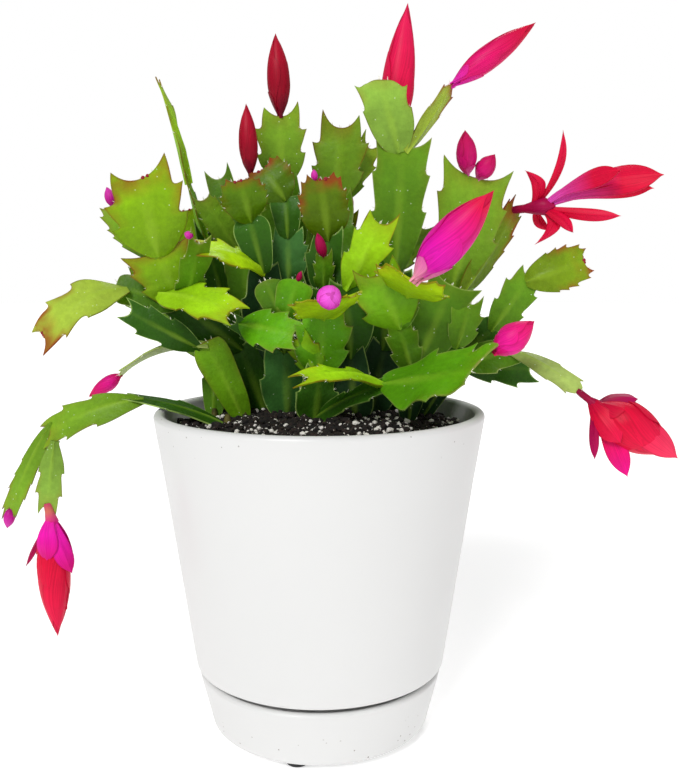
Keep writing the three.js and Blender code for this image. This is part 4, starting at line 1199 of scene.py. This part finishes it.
def read_columns(piece):
    """How far across the grid each vertex of a master lies, from -1 to 1, read from its map."""
    mesh = piece.data
    corners = np.zeros(len(mesh.loops), int)
    mesh.loops.foreach_get("vertex_index", corners)
    flat_map = np.zeros(len(mesh.loops) * 2)
    mesh.uv_layers[0].data.foreach_get("uv", flat_map)
    columns = np.zeros(len(mesh.vertices))
    columns[corners] = flat_map[::2] * 2 - 1
    return columns


def moved(piece, places):
    """Moves a piece's vertices to places in mm."""
    piece.data.vertices.foreach_set("co", mm(places).astype(np.float32).ravel())
    piece.data.update()
    return piece


def reshaped(master, name, places):
    return moved(copy_of(master, name), places)


def painted(piece, colours, blush):
    """Stores the skin colour and the blush of each vertex."""
    mesh = piece.data
    skin = mesh.attributes.new("skin", "FLOAT_COLOR", "POINT")
    rows = np.ones((len(mesh.vertices), 4), np.float32)
    rows[:, :3] = colours
    skin.data.foreach_set("color", rows.ravel())
    red = mesh.attributes.new("blush", "FLOAT", "POINT")
    red.data.foreach_set("value", np.full(len(mesh.vertices), blush, np.float32))
    return piece


# Places and directions on the plant, in mm

def point(*place):
    return np.array(place, float)


def unit(vector):
    return vector / np.linalg.norm(vector)


def face_direction(azimuth, elevation):
    """Direction a face looks in: azimuth 0 is the front, 90 is +X."""
    a, e = math.radians(azimuth), math.radians(elevation)
    return np.array([math.sin(a) * math.cos(e), -math.cos(a) * math.cos(e), math.sin(e)])


def blade_frame(start, tip, face):
    """Where a flat piece lies: its start, its length, and its directions along, outwards and across."""
    length = np.linalg.norm(tip - start)
    along = (tip - start) / length
    normal = unit(face - along * face.dot(along))
    return {"start": start, "tip": tip, "length": length, "along": along, "normal": normal,
            "across": np.cross(along, normal)}


def turned_frame(direction):
    """Two directions square to a flower's or a bristle's axis."""
    helper = point(0, 0, 1) if abs(direction[2]) < 0.9 else point(1, 0, 0)
    side = unit(np.cross(direction, helper))
    return side, np.cross(direction, side)


def spread(start, *ways):
    """Places reached from a start by lengths along directions."""
    places = start
    for lengths, direction in ways:
        places = places + np.outer(lengths, direction)
    return places


def on_blade(blade, reach, across, lift):
    ways = ((reach, blade["along"]), (across, blade["across"]), (lift, blade["normal"]))
    return spread(blade["start"], *ways)


def swing(seed, u, side, stretch, apart):
    """Soft random swing between -1 and 1 along a flat piece, with its own run on each side."""
    values = u * stretch + side * apart
    draw = random.Random(seed)
    waves = [(draw.uniform(*WAVE_PACES), draw.uniform(0, GREATEST_TURN), draw.uniform(*WAVE_HEIGHTS))
             for _ in range(WAVES_EACH)]
    return sum(height * np.sin(pace * values + shift) for pace, shift, height in waves) / WAVES_SUM


# The leafy stems

def laid(x, u, column, face, blade):
    """Points of a segment laid along its blade: lens shaped across, a little uneven."""
    draw = random.Random(blade["seed"])
    side = np.sign(x)
    margin = np.abs(column) ** 2
    u = u + margin * EDGE_SWING * swing(blade["seed"] + 2, u, side, stretch=1.1, apart=1.3)
    horn = np.clip(u - HORN_START, 0, HORN_LENGTH) / HORN_LENGTH
    u = u + horn * margin * np.where(x > 0, draw.uniform(*HORN_SWING), draw.uniform(*HORN_SWING))
    uneven = 1 + WIDTH_SWING * swing(blade["seed"], u, side, stretch=0.9, apart=1.7)
    half = np.abs(x) * blade["width"] / 2 * uneven
    neck = np.abs(column) * NECK_HALF_WIDTH * np.clip(1 - u / NECK_LENGTH, 0, 1)
    across = side * np.maximum(half, neck)
    rib = np.interp(u, *RIB_HALF_THICKNESS)
    lens = 1 - np.abs(column) ** LENS_POWER
    ridge = RIDGE_HEIGHT * np.exp(-(column / RIDGE_WIDTH) ** 2) * np.clip(1 - u, 0, 1)
    thickness = EDGE_HALF_THICKNESS + (rib - EDGE_HALF_THICKNESS) * lens + ridge
    wave = margin * blade["width"] * EDGE_WAVE * swing(blade["seed"] + 1, u, side, stretch=1.6, apart=2.2)
    twist = draw.uniform(-GREATEST_TWIST, GREATEST_TWIST) * across * u
    bend = blade["arch"] * 4 * u * (1 - u) + SEGMENT_CUP * blade["width"] * x * x + wave + twist
    reach = u * (blade["length"] - blade["slant"] * across)
    return on_blade(blade, reach, across, bend + face * thickness)


def segment(master, places, columns, blade, tone):
    """One segment: the master laid along its blade, in its tone of green; two tones hold painted shade and
    painted light.
    """
    shape = laid(places[:, 0], places[:, 1], columns, places[:, 2] * 2, blade)
    draw = random.Random(blade["seed"] + COLOUR_DRAW)
    colour, blush = TONES[tone]
    light = np.array(linear(colour)) * draw.uniform(*LIGHT_SWING)
    return painted(reshaped(master, "segment", shape), light, blush * draw.uniform(*BLUSH_SWING))


def segment_bristles(master, areoles, blade):
    """Short pale bristles in the notches and along the end of a segment."""
    draw = random.Random(blade["seed"] + BRISTLE_DRAW)
    both_sides = [(side * x, u, side * column) for x, u, column in areoles for side in (-1, 1)]
    x, u, column = (np.array(values) for values in zip(*both_sides))
    roots = laid(x, u, column, np.zeros(len(x)), blade)
    across, up, along = read_places(master).T
    pieces = []
    for root, sideways in zip(roots, x):
        for _ in range(BRISTLES_EACH):
            lean = unit(blade["along"] * draw.uniform(*BRISTLE_FORWARDS)
                        + blade["across"] * sideways * draw.uniform(*BRISTLE_SIDEWAYS)
                        + blade["normal"] * draw.uniform(*BRISTLE_OUTWARDS))
            side, upwards = turned_frame(lean)
            droop = along ** 2 * draw.uniform(-BRISTLE_DROOP, BRISTLE_DROOP)
            length = draw.uniform(*BRISTLE_LENGTHS)
            shape = spread(root - lean * BRISTLE_ROOT,
                           (along * length, lean), (across + droop * length, side), (up, upwards))
            pieces.append(reshaped(master, "bristle", shape))
    return pieces


def tip_nubs(master, blade):
    """Small reddish swellings in the notch at a segment's end."""
    draw = random.Random(blade["seed"] + NUB_DRAW)
    x, column = (np.array(values) for values in zip(*draw.sample(NUB_PLACES, NUBS_EACH)))
    roots = laid(x, np.ones(len(x)), column, np.zeros(len(x)), blade)
    ball = read_places(master)
    return [painted(reshaped(master, "nub", root + ball * draw.uniform(*NUB_SIZES)), linear(NUB_COLOUR), 0)
            for root in roots]


def outline_of(stem, part):
    for kind, members in OTHER_OUTLINES.items():
        if (stem, part) in members:
            return kind
    return "worn" if part in OLD_SEGMENTS else "toothed"


def woody_foot(x, y):
    """The short brown stem between the roots and the first segment."""
    ground = soil_height(x, y)
    piece = thrown("woody_foot", [(radius, ground + above) for radius, above in WOODY_PROFILE], WOODY_SIDES)
    piece.data.transform(Matrix.Translation((mm(x), mm(y), 0)))
    return painted(piece, linear(WOODY_COLOUR), 0.2)


def segment_blade(stem, row, below, seed):
    """Where a segment lies: from the end, the side or a notch of the one below to its own tip."""
    if (stem, row.part) in NOTCH_FEET:
        root = point(*NOTCH_FEET[stem, row.part])
    else:
        sunk = SUNK + FOOT_RISE if row.parent == "foot" else SUNK
        root = below["tip"] - below["along"] * sunk + below["across"] * row.side * below["width"] / 2
    azimuth = row.azimuth
    if row.part in TURNED_SEGMENTS or stem.startswith("stem_back"):
        azimuth += random.Random(f"turn {seed}").uniform(-INNER_TURN, INNER_TURN)
    width = row.width * OLD_SEGMENTS.get(row.part, YOUNG_FULLNESS)
    if row.part == "low" and stem in SLENDER_STEMS:
        width *= SLENDER_SHARE
    blade = blade_frame(root, point(row.x, row.y, row.z), face_direction(azimuth, row.elevation))
    blade.update(width=width, arch=row.arch, slant=SLANTED.get((stem, row.part), 0), seed=seed)
    return blade


def make_stems():
    """Every leafy stem as one piece. Returns where each segment ends, for the flowers."""
    kinds = {}
    for kind, (outline, points, areoles) in OUTLINES.items():
        master = flat_master(f"{kind}_segment", outline, points, SEGMENT_COLUMNS)
        kinds[kind] = (master, read_places(master), read_columns(master), areoles)
    bristle = thrown("bristle_master", BRISTLE_PROFILE, sides=4)
    for vertex in bristle.data.vertices:
        vertex.co = in_mm(vertex.co)
    nub = grain_master("nub_master", detail=2, roughness=0.12)
    bristles = []
    ends = {}
    for number, (stem, (foot, rows)) in enumerate(STEMS.items()):
        top = point(*foot, soil_height(*foot) + FOOT_RISE)
        places = {"foot": {"tip": top, "along": point(0, 0, 1), "across": point(1, 0, 0), "width": 0}}
        pieces = [woody_foot(*foot)]
        for step, row in enumerate(Segment(*row) for row in rows):
            blade = segment_blade(stem, row, places[row.parent], number * SEEDS_PER_STEM + step)
            master, shape, columns, areoles = kinds[outline_of(stem, row.part)]
            pieces.append(segment(master, shape, columns, blade, row.tone))
            bristles += segment_bristles(bristle, areoles, blade)
            if row.tone in BUDDING_TONES:
                pieces += tip_nubs(nub, blade)
            leaving = unit(blade["along"] - blade["normal"] * 4 * row.arch / blade["length"])
            places[row.part] = {**blade, "along": leaving, "width": row.width}
        piece = joined(f"{stem}_leafy", pieces)
        smooth_shaded(piece, degrees=50)
        finished(piece, SEGMENT, [stem])
        ends[stem] = places
    for master in (bristle, nub, *(kind[0] for kind in kinds.values())):
        put_away(master)
    finished(joined("areole_bristles", bristles), BRISTLE, [])
    return ends


# Flowers

def spindle_radius(share):
    """A bud's radius along its length as a share of its greatest radius."""
    inside = np.clip(share, 0, 1)
    swelling = np.sin(np.pi / 2 * np.clip(inside / BUD_WIDEST, 0, 1))
    closing = np.cos(np.pi / 2 * np.clip((inside - BUD_WIDEST) / (1 - BUD_WIDEST), 0, 1) ** BUD_POINT)
    return np.where(inside < BUD_WIDEST, np.maximum(swelling, BUD_NECK), closing)


def flower_colours(tone, share, base_reach=PETAL_BASE_REACH):
    """Colour from base over middle to tip."""
    base, middle, tip = (np.array(linear(colour)) for colour in FLOWER_TONES[tone])
    lower = np.clip(share / base_reach, 0, 1)[:, None]
    upper = np.clip((share - max(TIP_COLOUR_START, base_reach)) / TIP_COLOUR_REACH, 0, 1)[:, None]
    return (base * (1 - lower) + middle * lower) * (1 - upper) + tip * upper


def flower_axis(seat, tip, radius=0, sunk=SEAT_GAP):
    """The line of a flower from a little inside its seat to its tip, with two directions square to it."""
    direction = unit(tip - seat)
    start = seat - direction * sunk
    return {"start": start, "direction": direction, "length": np.linalg.norm(tip - start), "radius": radius,
            "sides": turned_frame(direction)}


def around(axis, along, sideways, upwards):
    """Places round a flower's axis."""
    side, up = axis["sides"]
    return spread(axis["start"], (along, axis["direction"]), (sideways, side), (upwards, up))


def furled_petal(master, places, axis, number, turn, twist, tone):
    """One petal wrapped round a bud, each lapping over the next."""
    angle, start, end, span = FURLED[number]
    layer = number // 3
    x = places[:, 0]
    share = start + (end - start) * np.clip(places[:, 1], 0, 1)
    turned = math.radians(turn + angle) + x * math.radians(span) + twist * share
    closing = 1 - np.clip((share - CLOSING_START) / (1 - CLOSING_START), 0, 1)
    lap = (LAP_ACROSS * x + LAP_LAYER * layer) * axis["radius"] * closing
    rib = FURLED_RIB * axis["radius"] * np.exp(-(x / PETAL_RIB_WIDTH) ** 2) * closing
    body = spindle_radius(share) * axis["radius"]
    thickness = places[:, 2] * FURLED_THICKNESS * (POINT_THINNESS + (1 - POINT_THINNESS) * closing)
    reach = np.maximum(body + lap + rib + thickness, LEAST_REACH)
    shape = around(axis, share * axis["length"], reach * np.cos(turned), reach * np.sin(turned))
    colours = flower_colours(tone, share, BASE_REACH[layer])
    return painted(reshaped(master, "furled_petal", shape), colours, 0)


def flower_core(axis, tone, profile):
    """The closed inside of a bud or the tube of a bloom, along its axis."""
    piece = thrown("flower_core", profile, CORE_SIDES)
    x, y, along = in_mm(read_places(piece)).T
    return painted(moved(piece, around(axis, along, x, y)), flower_colours(tone, along / axis["length"]), 0)


def furled_body(axis, tone, master, places, name):
    """Core and lapping petals of a bud, or of a bloom that is still furled."""
    profile = [(float(spindle_radius(share)) * axis["radius"] * CORE_FULLNESS, share * axis["length"])
               for share in CORE_SHARES]
    pieces = [flower_core(axis, tone, profile)]
    draw = random.Random(name)
    twist = draw.uniform(*FURLED_TWISTS)
    turn = draw.uniform(0, 360)
    for number in range(len(FURLED)):
        pieces.append(furled_petal(master, places, axis, number, turn, twist, tone))
    return pieces


def end_reach(share):
    """How far a segment's end stands out beyond its middle: little in the notch, more towards the horns."""
    return share / 12 if share < NOTCH_SHARE else NOTCH_SHARE / 12 + (share - NOTCH_SHARE) * HORN_SLOPE


def finished_flower(name, pieces, node):
    piece = joined(name, pieces)
    smooth_shaded(piece, degrees=45)
    finished(piece, PETAL, [node])


def make_bud(name, master, places, ends):
    bud = Bud(*BUDS[name])
    end = ends[bud.stem][bud.part]
    seat = (end["tip"] + end["across"] * bud.side * end["width"] / 2
            + end["along"] * end["length"] * end_reach(abs(bud.side)))
    if name in BUD_FEET:
        seat = point(*BUD_FEET[name])
    axis = flower_axis(seat, point(bud.x, bud.y, bud.z), bud.radius)
    finished_flower(f"{name}_furled", furled_body(axis, bud.tone, master, places, name), name)


def open_petal(master, places, blade, petal, seed):
    """A free petal: bowed towards its face, swayed to a side, hooked at its tip, cupped and waved."""
    x, u, face = places.T
    width = petal.width
    long_one = petal.tone == "throat"
    slender = np.interp(u, *THROAT_WIDTHS) if long_one else 1
    bulge = 4 * u * (1 - u)
    hooked = (np.clip(u - HOOK_START, 0, 1) / (1 - HOOK_START)) ** 2
    across = x * width / 2 * slender + petal.sway * bulge + petal.hook * hooked
    wave = x * x * width * PETAL_WAVE * swing(seed, u, np.sign(x), stretch=1.3, apart=2)
    keel = PETAL_KEEL * np.exp(-(x / PETAL_RIB_WIDTH) ** 2)
    thickness = PETAL_HALF_THICKNESS * (1 - PETAL_THINNING * x * x)
    lift = petal.bow * bulge - PETAL_FOLD * width * x * x + wave + keel + face * thickness * 2
    piece = reshaped(master, "open_petal", on_blade(blade, u * blade["length"], across, lift))
    base_reach = THROAT_BASE_REACH if long_one else PETAL_BASE_REACH
    return painted(piece, flower_colours(petal.tone, np.clip(u, 0, 1), base_reach), 0)


def make_bloom(name, master, places, ends):
    stem, part, tube, (thin, thick), tube_tone, body, petals = BLOOMS[name]
    axis = flower_axis(ends[stem][part]["tip"], point(*tube))
    start, direction, length = axis["start"], axis["direction"], axis["length"]
    profile = [(thin * 0.8, 0), (thin, length * 0.15), (thin * 1.05, length * 0.4),
               (thick * 0.7, length * 0.7), (thick * 0.9, length), (thick * 0.6, length + thick * 0.5),
               (thick * 0.2, length + thick)]
    pieces = [flower_core(axis, tube_tone, profile)]
    if body:
        *tip, radius = body
        inside = flower_axis(start + direction * length * BODY_START, point(*tip), radius, sunk=0)
        pieces += furled_body(inside, "red", master, places, name)
    for number, petal in enumerate(Petal(*row) for row in petals):
        root = start + direction * length * petal.begin * PETAL_SEAT
        tip = point(petal.x, petal.y, petal.z)
        blade = blade_frame(root, tip, face_direction(petal.azimuth, petal.elevation))
        pieces.append(open_petal(master, places, blade, petal, number * SEEDS_PER_PETAL + len(name)))
    finished_flower(f"{name}_petals", pieces, name)


# Floor, light and camera

def make_floor():
    deselect_all()
    bpy.ops.mesh.primitive_circle_add(vertices=64, radius=6, fill_type="NGON", location=(0, 0, 0))
    floor = named(bpy.context.active_object, "studio_floor")
    material, tree, place = new_material("Studio floor")
    surface = show(tree, mottled(tree, opaque(250, 250, 250), place, scale=3, amount=0.005), roughness=0.9)
    surface["Emission Color"].default_value = (1, 1, 1, 1)
    surface["Emission Strength"].default_value = FLOOR_GLOW
    floor.data.materials.append(material)


def soft_sun(name, place, softness, strength):
    """A distant soft lamp that shines from a direction towards the plant."""
    lamp = bpy.data.lights.new(name, "SUN")
    lamp.angle = math.radians(softness)
    lamp.energy = strength
    light = bpy.data.objects.new(name, lamp)
    light.location = place
    light.rotation_euler = Vector(place).to_track_quat("Z", "Y").to_euler()
    bpy.context.scene.collection.objects.link(light)


def make_light():
    """White surroundings, brighter as a backdrop than as light, and three soft lamps."""
    world = bpy.data.worlds.new("Studio")
    bpy.context.scene.world = world
    world.use_nodes = True
    tree = world.node_tree
    background = tree.nodes["Background"].inputs
    background["Color"].default_value = (1, 1, 1, 1)
    seen = add_node(tree, "ShaderNodeLightPath").outputs["Is Camera Ray"]
    plug(tree, background["Strength"], ramp_between(tree, seen, 0, 1, WORLD_LIGHT, 1.0))
    soft_sun("Key", (-0.45, -1.0, 0.85), softness=22, strength=1.9)
    soft_sun("Fill", (0.9, -0.8, 0.5), softness=50, strength=0.4)
    soft_sun("Back", (0.3, 0.9, 1.1), softness=30, strength=0.9)
    bpy.context.scene.view_settings.view_transform = "Standard"


def make_camera():
    lens = bpy.data.cameras.new("Camera")
    lens.sensor_width = SENSOR
    lens.lens = SENSOR * FOCAL_SHARE
    lens.clip_start = 0.01
    camera = bpy.data.objects.new("Camera", lens)
    camera.location = CAMERA_PLACE
    camera.rotation_euler = (math.radians(90 - CAMERA_TILT_DOWN), 0, 0)
    bpy.context.scene.collection.objects.link(camera)
    bpy.context.scene.camera = camera


def make_plant():
    petal = flat_master("petal", PETAL_ROWS, PETAL_TIPS, PETAL_COLUMNS)
    places = read_places(petal)
    ends = make_stems()
    for name in BUDS:
        make_bud(name, petal, places, ends)
    for name in BLOOMS:
        make_bloom(name, petal, places, ends)
    put_away(petal)


make_camera()
make_light()
make_floor()
make_pot()
make_saucer()
for foot in RUBBER_FEET:
    make_rubber_foot(foot)
make_soil()
make_soil_grains()
make_plant()
